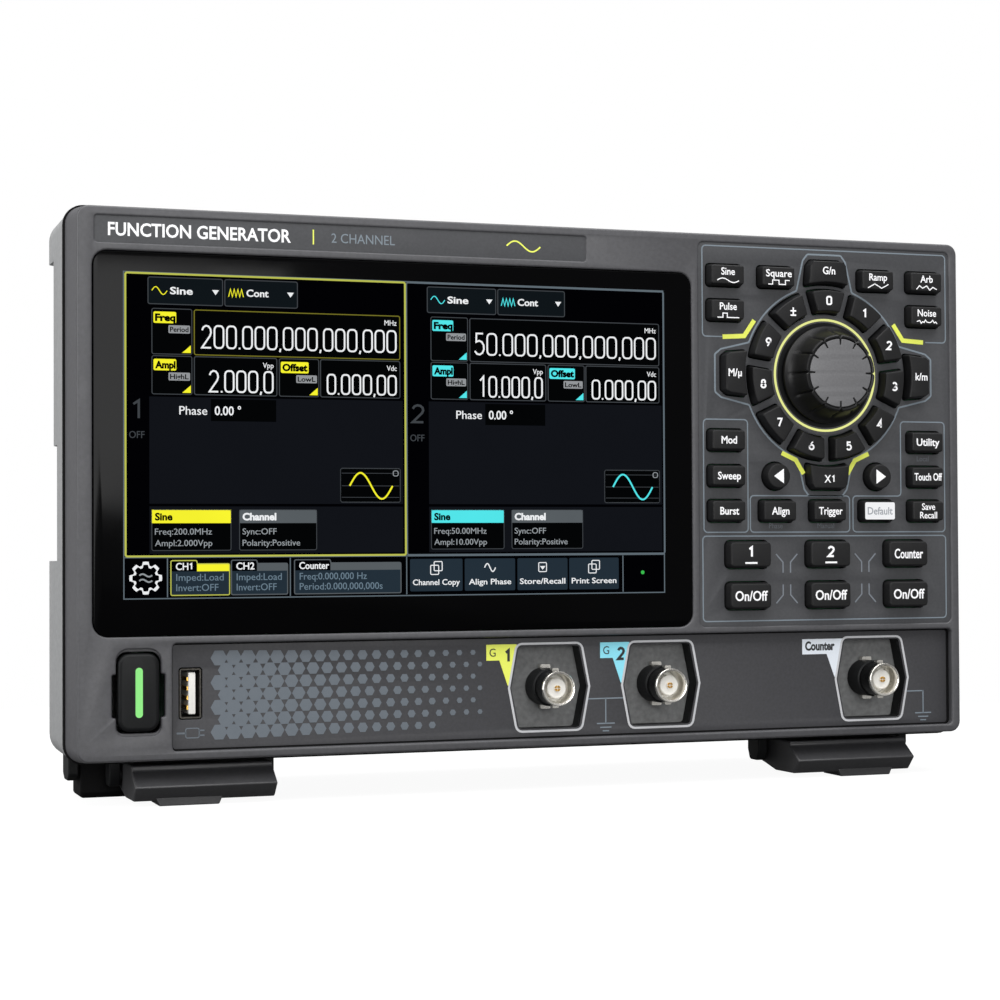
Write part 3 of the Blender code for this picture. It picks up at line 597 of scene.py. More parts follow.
    def figures(self, number, span, baseline, cap, surface, look, width, layer=1):
        """Digits drawn as lines of that width and spread over span, with narrow points and commas."""
        shares = [1.0 if sign in DIGITS else 0.3 for sign in number]
        pitch = (span[1] - span[0]) / (sum(shares) - DIGIT_GAP)
        stretch = (pitch * (1 - DIGIT_GAP) - width) / DIGIT_WIDTH
        x = span[0]
        for sign, share in zip(number, shares):
            if sign in DIGITS:
                path = [(x + width / 2 + a * stretch, baseline + width / 2 + b * (cap - width))
                        for a, b in DIGITS[sign]]
                self.stroke(path, width, surface, look, closed=sign == "0", layer=layer)
            else:
                drop = width if sign == "," else 0.0
                top = (x + 0.08 * pitch + drop / 4, baseline + width)
                foot = (x + 0.08 * pitch - drop / 4, baseline - drop)
                self.stroke([top, foot], width, surface, look, layer=layer)
            x += share * pitch

    def plate(self, outer, holes, near, far, look, bevel=0.0):
        """Plate with holes and rounded edges, filled between its outlines."""
        curve = bpy.data.curves.new("plate", "CURVE")
        curve.dimensions = "2D"
        curve.fill_mode = "BOTH"
        curve.extrude = (far - near) / 2 - bevel
        curve.bevel_depth = bevel
        curve.bevel_resolution = 2
        curve.offset = -bevel
        for outline in (outer, *holes):
            spline = curve.splines.new("POLY")
            spline.points.add(len(outline) - 1)
            spline.use_cyclic_u = True
            for point, (x, z) in zip(spline.points, outline):
                point.co = (x, z, 0.0, 1.0)
        middle = (near + far) / 2
        self.add_copy(mesh_from_curve(curve), look, lambda spot: (spot.x, middle - spot.z, spot.y))

    def cut(self, other):
        """Takes another piece's solids out of this one."""
        item, cutter = self.loose_object(), other.loose_object()
        step = item.modifiers.new("cut", "BOOLEAN")
        step.operation = "DIFFERENCE"
        step.solver = "EXACT"
        step.object = cutter
        graph = bpy.context.evaluated_depsgraph_get()
        data = bpy.data.meshes.new_from_object(item.evaluated_get(graph))
        self.mesh = bmesh.new()
        self.mesh.from_mesh(data)
        for spare in (item, cutter):
            bpy.data.objects.remove(spare)

    def loose_object(self):
        bmesh.ops.recalc_face_normals(self.mesh, faces=self.mesh.faces)
        data = bpy.data.meshes.new(self.name)
        self.mesh.to_mesh(data)
        self.mesh.free()
        for look in self.looks:
            data.materials.append(MATERIALS[look])
        item = bpy.data.objects.new(self.name, data)
        bpy.context.scene.collection.objects.link(item)
        return item

    def finish(self, body, slot=None, replaces=(), bevel=0.0, smooth=35):
        """Moves the piece to the frame's metres and makes it ride on a body."""
        for vertex in self.mesh.verts:
            x, depth, z = vertex.co
            vertex.co = (x * MM, FACE_Y + depth * MM, FACE_Z + z * MM)
        item = self.loose_object()
        if bevel:
            edge = item.modifiers.new("edge", "BEVEL")
            edge.width = bevel * MM
            edge.segments = 3
            edge.limit_method = "ANGLE"
            edge.angle_limit = math.radians(32)
        item.data.shade_smooth()
        item.data.set_sharp_from_angle(angle=math.radians(smooth))
        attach(item, body)
        if replaces:
            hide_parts(*replaces)
        return item


# Front of the case


def face_outline(depth, grow=0.0):
    """The flared case outline at a depth inside the bezel."""
    share = depth / BEZEL_DEPTH
    half = FACE_WIDTH / 2 + SIDE_FLARE * share
    rise = TOP_FLARE * share
    radius = 3.0 + 2.5 * share
    return box_outline((-half, half), (-rise, FACE_HEIGHT + rise), radius, grow, 8)


def power_hole(end_gap):
    """Opening around the power button, with a notch on each side and that gap above and below."""
    (x, z), (width, height) = POWER, size_of("power_button", KEY_FLANGE)
    half, tall, notch = width / 2 + 0.4, height / 2 + end_gap, width / 2 + 1.5
    low, high = -6.5, 4.7
    corners = [(-half, -tall), (half, -tall), (half, low), (notch, low), (notch, high), (half, high),
               (half, tall), (-half, tall), (-half, high), (-notch, high), (-notch, low), (-half, low)]
    big, small = 3.0 + end_gap / 2, 0.5
    radii = [big, big, small, small, small, small, big, big, small, small, small, small]
    return fillet([(x + a, z + b) for a, b in corners], radii, 5)


def make_bezel(keys):
    face = Piece("bezel_face")
    windows = [box_outline(OVERLAY_X, OVERLAY_Z, 1.6), box_outline(STRIP_X, STRIP_Z, 0.8),
               box_outline(GLASS_X, GLASS_Z, 4.0), box_outline(PANEL_X, PANEL_Z, 1.2), power_hole(1.1)]
    face.plate(face_outline(0.0), windows, 0.0, PLATE, "bezel_grey", EDGE_ROUND)
    face.finish("case", "bezel_plastic", ["front_bezel"])

    rim = Piece("bezel_rim")
    lip = BEZEL_DEPTH - SEAM_SHADE_DEPTH
    wall = 1.6
    middle = lip / 2
    sections = [(face_outline(EDGE_ROUND - 0.05, -0.02), EDGE_ROUND - 0.05),
                (face_outline(middle, -SEAM / 2), middle), (face_outline(lip, -SEAM), lip),
                (face_outline(lip, -wall), lip), (face_outline(middle, -wall), middle),
                (face_outline(EDGE_ROUND, -wall), EDGE_ROUND)]
    rim.stack(sections, "bezel_grey", loop=True)
    rim.finish("case", "bezel_plastic")
    # Near-black ring in the rubber feet's colour behind the bezel's lip: painted shade standing in for the
    # shadow in the seam between bezel and cover.
    seam_shade = Piece("case_seam_shade")
    seam_shade.stack([(face_outline(lip), lip + 0.02), (face_outline(BEZEL_DEPTH, -0.1), BEZEL_DEPTH),
                (face_outline(BEZEL_DEPTH, -0.5), BEZEL_DEPTH + 0.25),
                (face_outline(BEZEL_DEPTH, -wall), BEZEL_DEPTH + 0.25),
                (face_outline(lip, -wall), lip + 0.02)], "foot_rubber", loop=True)
    seam_shade.finish("case")

    overlay = Piece("key_overlay")
    holes = [outline(KEY_CLEARANCE) for outline in keys.values()]
    holes.append(circle(KNOB, 4.8))
    overlay.plate(box_outline(OVERLAY_X, OVERLAY_Z, 1.4, 0.6), holes, RECESS, PLATE, "overlay_grey", 0.12)
    overlay.finish("case", "bezel_plastic")

    strip = Piece("title_strip")
    strip.domed(lambda grow: box_outline(STRIP_X, STRIP_Z, 0.6, grow + 0.5), RECESS, PLATE, 0.1,
                "overlay_grey")
    strip.finish("case", "bezel_plastic")

    surround = Piece("power_surround")
    outer = centred(POWER, (17.6, 26.6), 2.0)
    surround.plate(outer, [power_hole(0.45)], 0.7, PLATE, "bezel_grey", 0.2)
    surround.finish("case", "bezel_plastic")


def make_strip_print():
    """Generic title in the strip above the display."""
    words = Piece("title_print")
    words.text("FUNCTION GENERATOR", (-122.0, 136.9), 3.3, RECESS, "white_ink", bold=0.02, align=0.0)
    words.text("2 CHANNEL", (-62.0, 137.3), 2.5, RECESS, "line_ink", align=0.0)
    words.stroke([(-67.0, 136.6), (-67.0, 140.6)], 0.35, RECESS, "lime_ink")
    wave = [(x / 4 - 2.0, 138.5 + 1.4 * math.sin(x * math.tau / 40)) for x in range(41)]
    words.stroke([(x - 10.0, z) for x, z in wave], 0.4, RECESS, "lime_ink")
    words.finish("case")


def make_overlay_lines():
    """Printed borders around the groups of keys, with lime accents by the number ring."""
    lines = Piece("overlay_lines")

    def border(path, closed=True):
        lines.stroke(fillet(path, 1.1, 4, closed), 0.36, RECESS, "line_ink", closed)

    border([(53.5, 115.1), (47.2, 115.1), (47.2, 141.1), (126.3, 141.1), (126.3, 115.1), (119.5, 115.1)],
           False)
    border([(47.3, 59.1), (61.2, 59.1), (61.2, 91.4), (47.3, 91.4)])
    border([(61.9, 59.1), (93.9, 59.1), (93.9, 69.6), (61.9, 69.6)])
    border([(95.0, 59.1), (125.6, 59.1), (125.6, 91.5), (110.9, 91.5), (110.9, 69.6), (95.0, 69.6)])
    border([(46.9, 33.7), (125.8, 33.7), (125.8, 58.0), (46.9, 58.0)])
    hull = []
    for turn in (0, 90, 180, 270):
        hood = [(24.3, -9.0), (33.2, -6.9), (35.1, -5.4), (35.1, 5.4), (33.2, 6.9), (24.3, 9.0)]
        hull += turned_about_knob(hood, turn)
        hull += arc(KNOB, 25.9, turn + 23, turn + 67, 10)
    lines.stroke(fillet(hull, 0.8, 3), 0.5, RECESS, "line_ink", closed=True)
    for side in (-1, 1):
        upper = [(22.6, 15.4), (25.8, 10.8), (32.6, 10.4)]
        lower = [(14.1, -22.7), (9.6, -24.7), (7.1, -28.7)]
        for path in (upper, lower):
            spots = [(KNOB[0] + side * x, KNOB[1] + z) for x, z in path]
            lines.stroke(spots, 1.3, RECESS, "lime_ink", layer=2)
    for middle in (73.4, 98.9):
        for level, way in ((52.8, 1), (38.6, -1)):
            for side in (-1, 1):
                path = [(middle + side * 3.4, level), (middle + side * 1.2, level - way * 2.4),
                        (middle + side * 1.2, level - way * 5.4)]
                lines.stroke(path, 0.4, RECESS, "dim_ink")
    words = (("Local", (118.3, 79.9)), ("Phase", (70.0, 60.2)), ("Manual", (86.1, 60.2)))
    for word, place in words:
        lines.text(word, place, 1.5, RECESS, "word_dim")
    lines.finish("case")

    ring = Piece("knob_ring")
    trough = [(14.9, RECESS - 0.05), (17.3, RECESS - 0.05), (17.3, RECESS + 0.3), (14.9, RECESS + 0.3)]
    ring.turned(trough, KNOB, "bezel_grey", 96, loop=True)
    # Black disc inside the lime band: painted shadow of the knob's base on the overlay.
    shadow_disc = [(5.0, RECESS - 0.08), (15.3, RECESS - 0.08), (15.3, RECESS + 0.2), (5.0, RECESS + 0.2)]
    ring.turned(shadow_disc, KNOB, "satin_black", 96, loop=True)
    band = [(15.87, RECESS - 0.25), (16.37, RECESS - 0.25), (16.45, RECESS - 0.15), (16.45, RECESS + 0.1),
            (15.79, RECESS + 0.1), (15.79, RECESS - 0.15)]
    ring.turned(band, KNOB, "light_lime", 96, loop=True)
    ring.finish("case")


# Keys

WAVES = {
    "sine": [(x / 8 - 1, 0.5 * math.sin(x * math.tau / 16)) for x in range(17)],
    "square": [(-1, -0.5), (-0.6, -0.5), (-0.6, 0.5), (0, 0.5), (0, -0.5), (0.6, -0.5), (0.6, 0.5), (1, 0.5)],
    "ramp": [(-1, -0.5), (-0.33, 0.5), (0.33, -0.5), (1, 0.5)],
    "arb": [(-1, -0.4), (-0.7, 0.5), (-0.4, -0.1), (0, 0.5), (0.3, -0.5), (0.6, 0.2), (1, -0.3)],
    "pulse": [(-1, -0.5), (-0.5, -0.5), (-0.5, 0.5), (-0.1, 0.5), (-0.1, -0.5), (1, -0.5)],
    "noise": [(x / 7 - 1, 0.5 * math.sin(x * 2.4) * math.cos(x * 1.1)) for x in range(15)],
    "cont": [(x / 4 - 1, 0.5 if x % 2 else -0.5) for x in range(9)],
}
WORDS = {"sine": "Sine", "square": "Square", "ramp": "Ramp", "arb": "Arb", "pulse": "Pulse",
         "noise": "Noise", "mod": "Mod", "utility": "Utility", "sweep": "Sweep", "touch_off": "Touch Off",
         "burst": "Burst", "align": "Align", "trigger": "Trigger", "default": "Default",
         "counter": "Counter", "output_1": "On/Off", "output_2": "On/Off", "counter_on": "On/Off",
         "giga": "G/n", "mega": "M/µ", "kilo": "k/m", "sign": "±"}
WORD_WIDTHS = {"square": 8.2, "utility": 7.6, "touch_off": 9.2, "trigger": 7.6, "default": 8.2,
               "counter": 9.4, "output_1": 10.2, "output_2": 10.2, "counter_on": 10.2}


def legend_centre(name):
    if name in RING_NAMES:
        turn = math.radians(90 - RING_NAMES.index(name) * 360 / RING_KEYS[3])
        radius = (RING_KEYS[0] + RING_KEYS[1]) / 2
        return KNOB[0] + radius * math.cos(turn), KNOB[1] + radius * math.sin(turn)
    if name in HOOD_TURNS:
        return turned_about_knob([(HOOD_LEGEND, 0.0)], HOOD_TURNS[name])[0]
    return centre_of(f"key_{name}")


def print_legend(legend, name):
    x, z = legend_centre(name)
    if name in ("left", "right"):
        side = -1 if name == "left" else 1
        legend.print_shape([(x - side * 1.4, z - 2.1), (x + side * 1.7, z), (x - side * 1.4, z + 2.1)],
                           KEY_FRONT, "white_ink")
    elif name in ("channel_1", "channel_2"):
        legend.figures(name[-1], (x - 1.15, x + 1.15), z - 0.9, 3.3, KEY_FRONT, "white_ink", 0.62)
        legend.print_shape(centred((x, z - 2.4), (3.8, 0.5)), KEY_FRONT, "white_ink")
    elif name.isdigit():
        legend.figures(name, (x - 0.95, x + 0.95), z - 1.35, 2.7, KEY_FRONT, "white_ink", 0.5)
    elif name == "unit":
        legend.text("X", (x - 0.9, z - 1.05), 2.1, KEY_FRONT, "white_ink", bold=0.015)
        legend.figures("1", (x + 0.2, x + 1.7), z - 1.05, 2.1, KEY_FRONT, "white_ink", 0.34)
    elif name == "recall":
        legend.text("Save", (x, z + 0.3), 1.9, KEY_FRONT, "white_ink", bold=0.01)
        legend.text("Recall", (x, z - 2.2), 1.9, KEY_FRONT, "white_ink", bold=0.01)
    elif name in WAVES:
        legend.text(WORDS[name], (x, z - 0.1), 2.0, KEY_FRONT, "white_ink", WORD_WIDTHS.get(name), 0.012)
        wave = [(x + a * 3.4, z - 1.7 + b * 1.2) for a, b in WAVES[name]]
        legend.stroke(wave, 0.28, KEY_FRONT, "white_ink")
    else:
        cap = 2.7 if name.startswith(("sign", "output", "counter")) else 2.1
        look = "word_ink" if name == "default" else "white_ink"
        if name == "default":
            legend.print_shape(centred((x, z), (9.7, 5.0), 0.5), KEY_FRONT, "light_white")
        legend.text(WORDS[name], (x, z - cap / 2), cap, KEY_FRONT, look, WORD_WIDTHS.get(name), 0.015,
                    layer=2)


def make_keys(keys):
    for name, outline in keys.items():
        body = f"key_{name}"
        cap = Piece(f"{name}_cap" if not name.isdigit() else f"digit_{name}_cap")
        front = cap.rounded_front(lambda grow, shape=outline: shape(grow - KEY_DRAFT), KEY_FRONT, 0.45)
        cap.stack([*front, (outline(0.0), 0.0), (outline(0.0), PLATE + 0.3)], "key_black")
        cap.finish(body, "key_rubber", [body])
        legend = Piece(cap.name.replace("_cap", "_legend"))
        print_legend(legend, name)
        legend.finish(body)


def make_knob():
    """Knob with a concave notched skirt, a bore for its shaft and a satin cap disc."""
    knob = Piece("knob_skirt")
    steps = KNOB_NOTCHES * KNOB_STEPS
    profile = [(9.9, -9.0), (10.2, -9.45), (10.6, -KNOB_REACH), (10.95, -9.35), (11.1, -8.9), (11.5, -7.2),
               (12.1, -4.6), (13.0, -2.8), (13.7, -2.1), (14.1, -1.75), (14.1, -0.9),
               (5.5, -0.9), (5.5, -4.0), (3.1, -4.0), (3.1, -8.0)]
    rings = []
    for radius, depth in profile:
        spots = []
        for index in range(steps):
            turn = math.tau * index / steps
            share = abs(index % KNOB_STEPS - KNOB_STEPS / 2) / (KNOB_STEPS / 2)
            notch = max(0.0, share - NOTCH_START) / (1 - NOTCH_START)
            reach = radius - (NOTCH_DEPTH * notch if 10.0 < radius < 12.6 else 0.0)
            spots.append((KNOB[0] + reach * math.cos(turn), depth, KNOB[1] + reach * math.sin(turn)))
        rings.append(knob.ring(spots))
    knob.solid(rings, "knob_black")
    knob.finish("knob", "black_plastic", ["knob"])

    cap = Piece("knob_cap")
    outline = []
    for index in range(KNOB_NOTCHES):
        middle = 360 * index / KNOB_NOTCHES
        outline += arc(KNOB, 9.75, middle + 1.9, middle + 360 / KNOB_NOTCHES - 1.9, 8)
        outline += arc(KNOB, 8.1, middle + 360 / KNOB_NOTCHES - 1.6, middle + 360 / KNOB_NOTCHES + 1.6, 1)
    cap.plate(outline, [], -KNOB_REACH + 0.1, -8.7, "cap_grey", 0.12)
    cap.finish("knob", "black_plastic")


# Lower panel


def make_panel():
    panel = Piece("lower_panel")
    holes = [well_outline(jack) for jack in JACKS]
    holes.append(centred(USB, size_of("usb_host_socket"), 0.5, 0.3))
    panel.plate(box_outline(PANEL_X, PANEL_Z, 1.2, 0.5), holes, PANEL_FRONT, PANEL_FRONT + 1.6,
                "panel_grey", 0.1)
    panel.finish("case", "panel_plastic", ["connector_panel"])
    # Near-black frame in the rubber feet's colour round the panel's edge: painted shade standing in for the
    # shadow gap between panel and bezel.
    edge_shade = Piece("panel_gasket")
    near, far = PANEL_FRONT - 0.25, PANEL_FRONT + 0.1
    inner, outer = box_outline(PANEL_X, PANEL_Z, 1.2, -PANEL_SHADE_INSET), box_outline(PANEL_X, PANEL_Z, 1.2, 0.3)
    edge_shade.stack([(inner, near), (inner, far), (outer, far), (outer, near)], "foot_rubber", loop=True)
    edge_shade.finish("case")
    # The well walls are coloured near black, darker than the grey floors: painted shade inside the wells.
    walls = Piece("well_walls")
    floors = Piece("well_floors")
    for jack in JACKS:
        inner, outer = well_outline(jack), well_outline(jack, 1.4)
        walls.stack([(inner, WELL_FLOOR), (inner, PANEL_FRONT + 0.3), (outer, PANEL_FRONT + 0.3),
                     (outer, WELL_FLOOR + 1.4), (inner, WELL_FLOOR + 1.4)], "satin_black", loop=True)
        floors.prism(well_outline(jack, -0.02), WELL_FLOOR, WELL_FLOOR + 1.3, "well_grey")
    walls.finish("case", "panel_plastic")
    floors.finish("case", "panel_plastic")


def ground_symbol(piece, x, top):
    piece.stroke([(x, top), (x, 5.6)], 0.35, PANEL_FRONT, "line_ink")
    for level, half in ((5.6, 2.7), (4.5, 1.7), (3.5, 0.95)):
        piece.stroke([(x - half, level), (x + half, level)], 0.35, PANEL_FRONT, "line_ink")


def make_panel_print():
    lines = Piece("panel_print")
    for jack in JACKS:
        lines.stroke(well_outline(jack, 0.75, 1.2), 0.6, PANEL_FRONT, "outline_ink", closed=True, layer=2)
    for jack, look, number in (("bnc_channel_1", "lime_ink", "1"), ("bnc_channel_2", "cyan_ink", "2")):
        x = JACKS[jack][0]
        flag = [(-18.5, 28.3), (-9.6, 28.3), (-12.0, 16.9), (-12.3, 16.9), (-14.7, 23.9), (-18.5, 23.9)]
        lines.print_shape([(x + a, z) for a, z in flag], PANEL_FRONT, look)
        lines.text("G", (x - 16.7, 25.0), 2.2, PANEL_FRONT, "dark_ink", layer=2)
        lines.figures(number, (x - 13.4, x - 11.0), 23.2, 3.8, PANEL_FRONT, "dark_ink", 0.75, layer=2)
    x = JACKS["bnc_counter"][0]
    flag = [(-22.7, 28.0), (-9.6, 28.0), (-12.0, 16.9), (-12.3, 16.9), (-14.8, 23.6), (-22.7, 23.6)]
    lines.print_shape([(x + a, z) for a, z in flag], PANEL_FRONT, "flag_ink")
    lines.text("Counter", (x - 17.0, 24.8), 2.4, PANEL_FRONT, "dark_ink", 9.6, 0.04, layer=2)
    first, second = JACKS["bnc_channel_1"][0], JACKS["bnc_channel_2"][0]
    middle = (first + second) / 2
    lines.stroke([(first + 11.6, 12.6), (second - 11.6, 12.6)], 0.35, PANEL_FRONT, "line_ink")
    ground_symbol(lines, middle, 12.6)
    lines.stroke([(x + 11.6, 12.1), (x + 17.0, 12.1)], 0.35, PANEL_FRONT, "line_ink")
    ground_symbol(lines, x + 17.0, 12.27)
    print_port_icon(lines)
    lines.finish("case")


def print_port_icon(lines):
    """Generic pictogram under the socket: a plug with two contacts on a short cord."""
    x, z = USB[0], USB[1] - 10.4
    lines.stroke(centred((x + 0.5, z), (3.6, 2.5), 0.5), 0.3, PANEL_FRONT, "dot_ink", closed=True)
    lines.stroke([(x - 3.7, z), (x - 1.3, z)], 0.5, PANEL_FRONT, "dot_ink")
    for side in (-1, 1):
        lines.stroke([(x + 2.3, z + side * 0.65), (x + 3.7, z + side * 0.65)], 0.4, PANEL_FRONT, "dot_ink")


def make_dots():
    """Field of hexagons that shrink from left to right, printed on the lower panel."""
    dots = Piece("panel_dots")
    left, pitch_x, pitch_z, top = -92.5, 3.94, 3.26, 26.3
    for row in range(7):
        start = left + (pitch_x / 2 if row % 2 else 0.0)
        for column in range(16 if row == 6 else 19):
            x, z = start + column * pitch_x, top - row * pitch_z
            half = min(2.25, 2.3 - 0.0216 * (x - left))
            tall, flat = half * 0.87, half * 0.5
            hexagon = [(x + half, z), (x + flat, z + tall), (x - flat, z + tall),
                       (x - half, z), (x - flat, z - tall), (x + flat, z - tall)]
            dots.print_shape(hexagon, PANEL_FRONT, "dot_ink", layer=1 + 0.2 * (row % 2) + 0.1 * (column % 2))
    dots.finish("case")


def make_jacks():
    for name, (x, z) in JACKS.items():
        jack = Piece(name.replace("bnc", "jack"))
        front = JACK_FRONT
        lip = [(3.95, front + 0.7), (4.15, front + 0.1), (4.35, front), (4.65, front), (4.8, front + 0.2),
               (4.8, front + 1.1), (4.4, front + 1.1), (4.4, front + 6.4), (3.95, front + 6.4)]
        jack.turned(lip, (x, z), "nickel_plate", 64, loop=True)
        # Barrel coloured near black: painted reflection, standing in for the dark surroundings the plated
        # barrel mirrors.
        barrel = [(4.74, front + 1.0), (4.74, 7.6), (4.3, 7.6), (4.3, front + 1.0)]
        jack.turned(barrel, (x, z), "nickel_painted_dark_reflection", 64, loop=True)
        collar = [(4.85, 1.4), (5.25, 1.6), (5.25, 7.8), (4.6, 7.8), (4.6, 1.4)]
        jack.turned(collar, (x, z), "satin_black", 64, loop=True)
        for side in (-1, 1):
            pin = sorted((z + side * 4.4, z + side * 5.5))
            jack.prism(box_outline((x - 0.95, x + 0.95), pin, 0.3), front + 2.8, front + 4.6, "nickel_plate")
            tab = sorted((z + side * 4.8, z + side * 6.2))
            jack.prism(box_outline((x - 1.5, x + 1.5), tab, 0.4), 5.6, 7.4, "nickel_plate")
        jack.finish("case", "nickel", [name])
        middle = Piece(name.replace("bnc", "insulator"))
        seat = [(0.0, front + 1.6), (0.95, front + 1.6), (0.95, front + 2.0), (2.6, front + 2.0),
                (2.8, front + 2.2), (2.8, front + 5.8), (3.9, front + 5.8), (3.9, 7.5), (0.0, 7.5)]
        middle.turned(seat, (x, z), "insulator_white", 48)
        middle.finish("case")
        contact = Piece(name.replace("bnc", "contact"))
        for quarter in range(4):
            start = quarter * 90 + 12
            leaf = arc((x, z), 0.82, start, start + 66, 5) + arc((x, z), 0.34, start + 66, start, 5)
            contact.prism(leaf, front + 1.2, front + 2.6, "gold_plate")
        contact.finish("case")


def make_usb():
    socket = Piece("port_shell")
    size = size_of("usb_host_socket")
    near, far, sheet = 2.8, 14.0, 0.4
    outer, inner = centred(USB, size, 0.5), centred(USB, size, 0.5, -sheet)
    socket.stack([(outer, near), (outer, far), (inner, far), (inner, near)], "shell_steel", loop=True)
    socket.finish("case", "zinc_steel", ["usb_host_socket"])
    tongue = Piece("port_tongue")
    x, z = USB
    tongue.domed(lambda grow: box_outline((x - 0.4, x + 1.5), (z - 5.5, z + 5.5), 0.3, grow), near + 0.6,
                 far - 0.4, 0.15, "insulator_white")
    tongue.finish("case")
    contacts = Piece("port_contacts")
    for level in (-3.75, -1.25, 1.25, 3.75):
        strip = box_outline((x - 0.75, x - 0.35), (z + level - 0.5, z + level + 0.5))
        contacts.prism(strip, near + 1.0, far - 1.0, "gold_plate")
    contacts.finish("case")
    back = Piece("port_back")
    back.prism(centred(USB, size, 0.5, -sheet - 0.02), far - 0.5, far - 0.1, "satin_black")
    back.finish("case")


def make_power():
    size = size_of("power_button", KEY_FLANGE)
    button = Piece("power_cap")
    button.domed(lambda grow: centred(POWER, size, 3.0, grow), -0.6, PLATE + 0.3, 1.2, "satin_black", 6)
    button.finish("power_button", "black_plastic", ["power_button"])
    light = Piece("power_light")
    light.domed(lambda grow: centred(POWER, (1.9, 13.0), 0.94, grow), -0.72, -0.4, 0.12, "light_green")
    light.finish("power_button")


# Display


def make_display():
    glass = Piece("cover_glass_pane")
    glass.domed(lambda grow: box_outline(GLASS_X, GLASS_Z, 3.9, grow - 0.25, 8), GLASS_FRONT, 1.05, 0.2,
                "cover_glass")
    glass.finish("case", "screen_glass", ["display_glass"])
    screen = Piece("screen_frame")
    screen.print_shape(box_outline(SCREEN_X, SCREEN_Z), GLASS_FRONT, "screen_black", layer=0.5)
    screen.stroke(box_outline(SCREEN_X, SCREEN_Z), 0.3, GLASS_FRONT, "screen_line", closed=True)
    screen.stroke([(SCREEN_X[0] + 0.2, 52.95), (SCREEN_X[1] - 0.2, 52.95)], 0.3, GLASS_FRONT, "screen_line")
    for x in (-106.6, -73.65, -41.25, 22.2):
        screen.stroke([(x, 42.5), (x, 52.7)], 0.3, GLASS_FRONT, "screen_line")
    screen.finish("case")
    make_pane(1, 0.0, "screen_yellow", "screen_olive", "200.000,000,000,000", "2.000,0",
              ("Freq:200.0MHz", "Ampl:2.000Vpp"))
    make_pane(2, 76.5, "screen_cyan", "screen_dim", "50.000,000,000,000", "10.000,0",
              ("Freq:50.00MHz", "Ampl:10.00Vpp"))
    make_bottom_bar()


class Pane(Piece):
    """One channel's half of the display; both halves share a layout, a shift apart along x."""

    def __init__(self, number, shift, accent):
        super().__init__(f"pane_{number}")
        self.shift = shift
        self.accent = accent

    def area(self, low_x, high_x, low_z, high_z, look, layer=1, radius=0.0):
        outline = box_outline((low_x + self.shift, high_x + self.shift), (low_z, high_z), radius)
        self.print_shape(outline, GLASS_FRONT, look, layer)

    def edge(self, low_x, high_x, low_z, high_z, look, width=0.25, layer=2):
        outline = box_outline((low_x + self.shift, high_x + self.shift), (low_z, high_z), 0.5)
        self.stroke(outline, width, GLASS_FRONT, look, closed=True, layer=layer)

    def field(self, low_x, high_x, low_z, high_z, look="screen_dim", width=0.25):
        """Dark box with a border."""
        self.area(low_x, high_x, low_z, high_z, "screen_field", 2)
        self.edge(low_x, high_x, low_z, high_z, look, width, 3)

    def words(self, words, x, z, cap, look, width=None, bold=0.0, align=0.0, wide=0.9):
        self.text(words, (x + self.shift, z), cap, GLASS_FRONT, look, width, bold, align, 4, wide)


def make_pane(number, shift, accent, value_line, frequency, amplitude, notes):
    pane = Pane(number, shift, accent)
    border, width = ("screen_border", 0.5) if number == 1 else ("screen_line", 0.35)
    pane.edge(-117.55, -41.45, 53.25, 127.25, border, width)
    pane.area(-111.3, -42.2, 67.0, 95.0, "screen_pane")
    pane.area(-111.3, -42.2, 53.9, 66.3, "screen_pane")
    span = (shift - 116.2, shift - 112.6)
    pane.figures(str(number), span, 89.0, 5.2, GLASS_FRONT, "screen_dim", 0.6, layer=4)
    pane.words("OFF", -116.6, 84.1, 1.8, "screen_dim")
    draw_lists(pane)
    draw_tags(pane)
    starts = (-97.6, -95.6) if number == 1 else (-98.2, -97.0)
    draw_value(pane, (-99.4, -43.0, 106.2, 118.0), frequency, "MHz", starts[0], 1.7, 6.25, value_line)
    draw_value(pane, (-99.4, -77.2, 95.7, 105.7), amplitude, "Vpp", starts[1], 0.65, 5.95)
    draw_value(pane, (-65.2, -43.0, 95.7, 105.7), "0.000,00", "Vdc", -63.5, 0.65, 5.6)
    pane.words("Phase", -103.4, 90.4, 2.2, "screen_white", 7.4)
    pane.area(-95.0, -77.4, 88.8, 94.6, "screen_field", 2)
    pane.words("0.00 °", -94.0, 90.4, 2.3, "screen_white", bold=0.012)
    draw_preview(pane)
    draw_cards(pane, notes)
    pane.finish("case")


def draw_lists(pane):
    """Drop-down lists at the top: the wave's shape and how it runs."""
    for low, high, label, wave in ((-111.6, -91.8, "Sine", "sine"), (-91.2, -71.5, "Cont", "cont")):
        pane.area(low, high, 119.3, 126.3, "screen_drop")
        pane.edge(low, high, 119.3, 126.3, "screen_dim")
        points = [(low + 3.0 + pane.shift + a * 2.0, 122.8 + b * 2.0) for a, b in WAVES[wave]]
        pane.stroke(points, 0.22, GLASS_FRONT, pane.accent, layer=4)
        pane.words(label, low + 5.8, 122.0, 1.8, "screen_white", 6.0, bold=0.02)
        tip = high - 1.9 + pane.shift
        arrow = [(tip, 122.1), (tip + 0.9, 123.4), (tip - 0.9, 123.4)]
        pane.print_shape(arrow, GLASS_FRONT, "screen_white", 4)


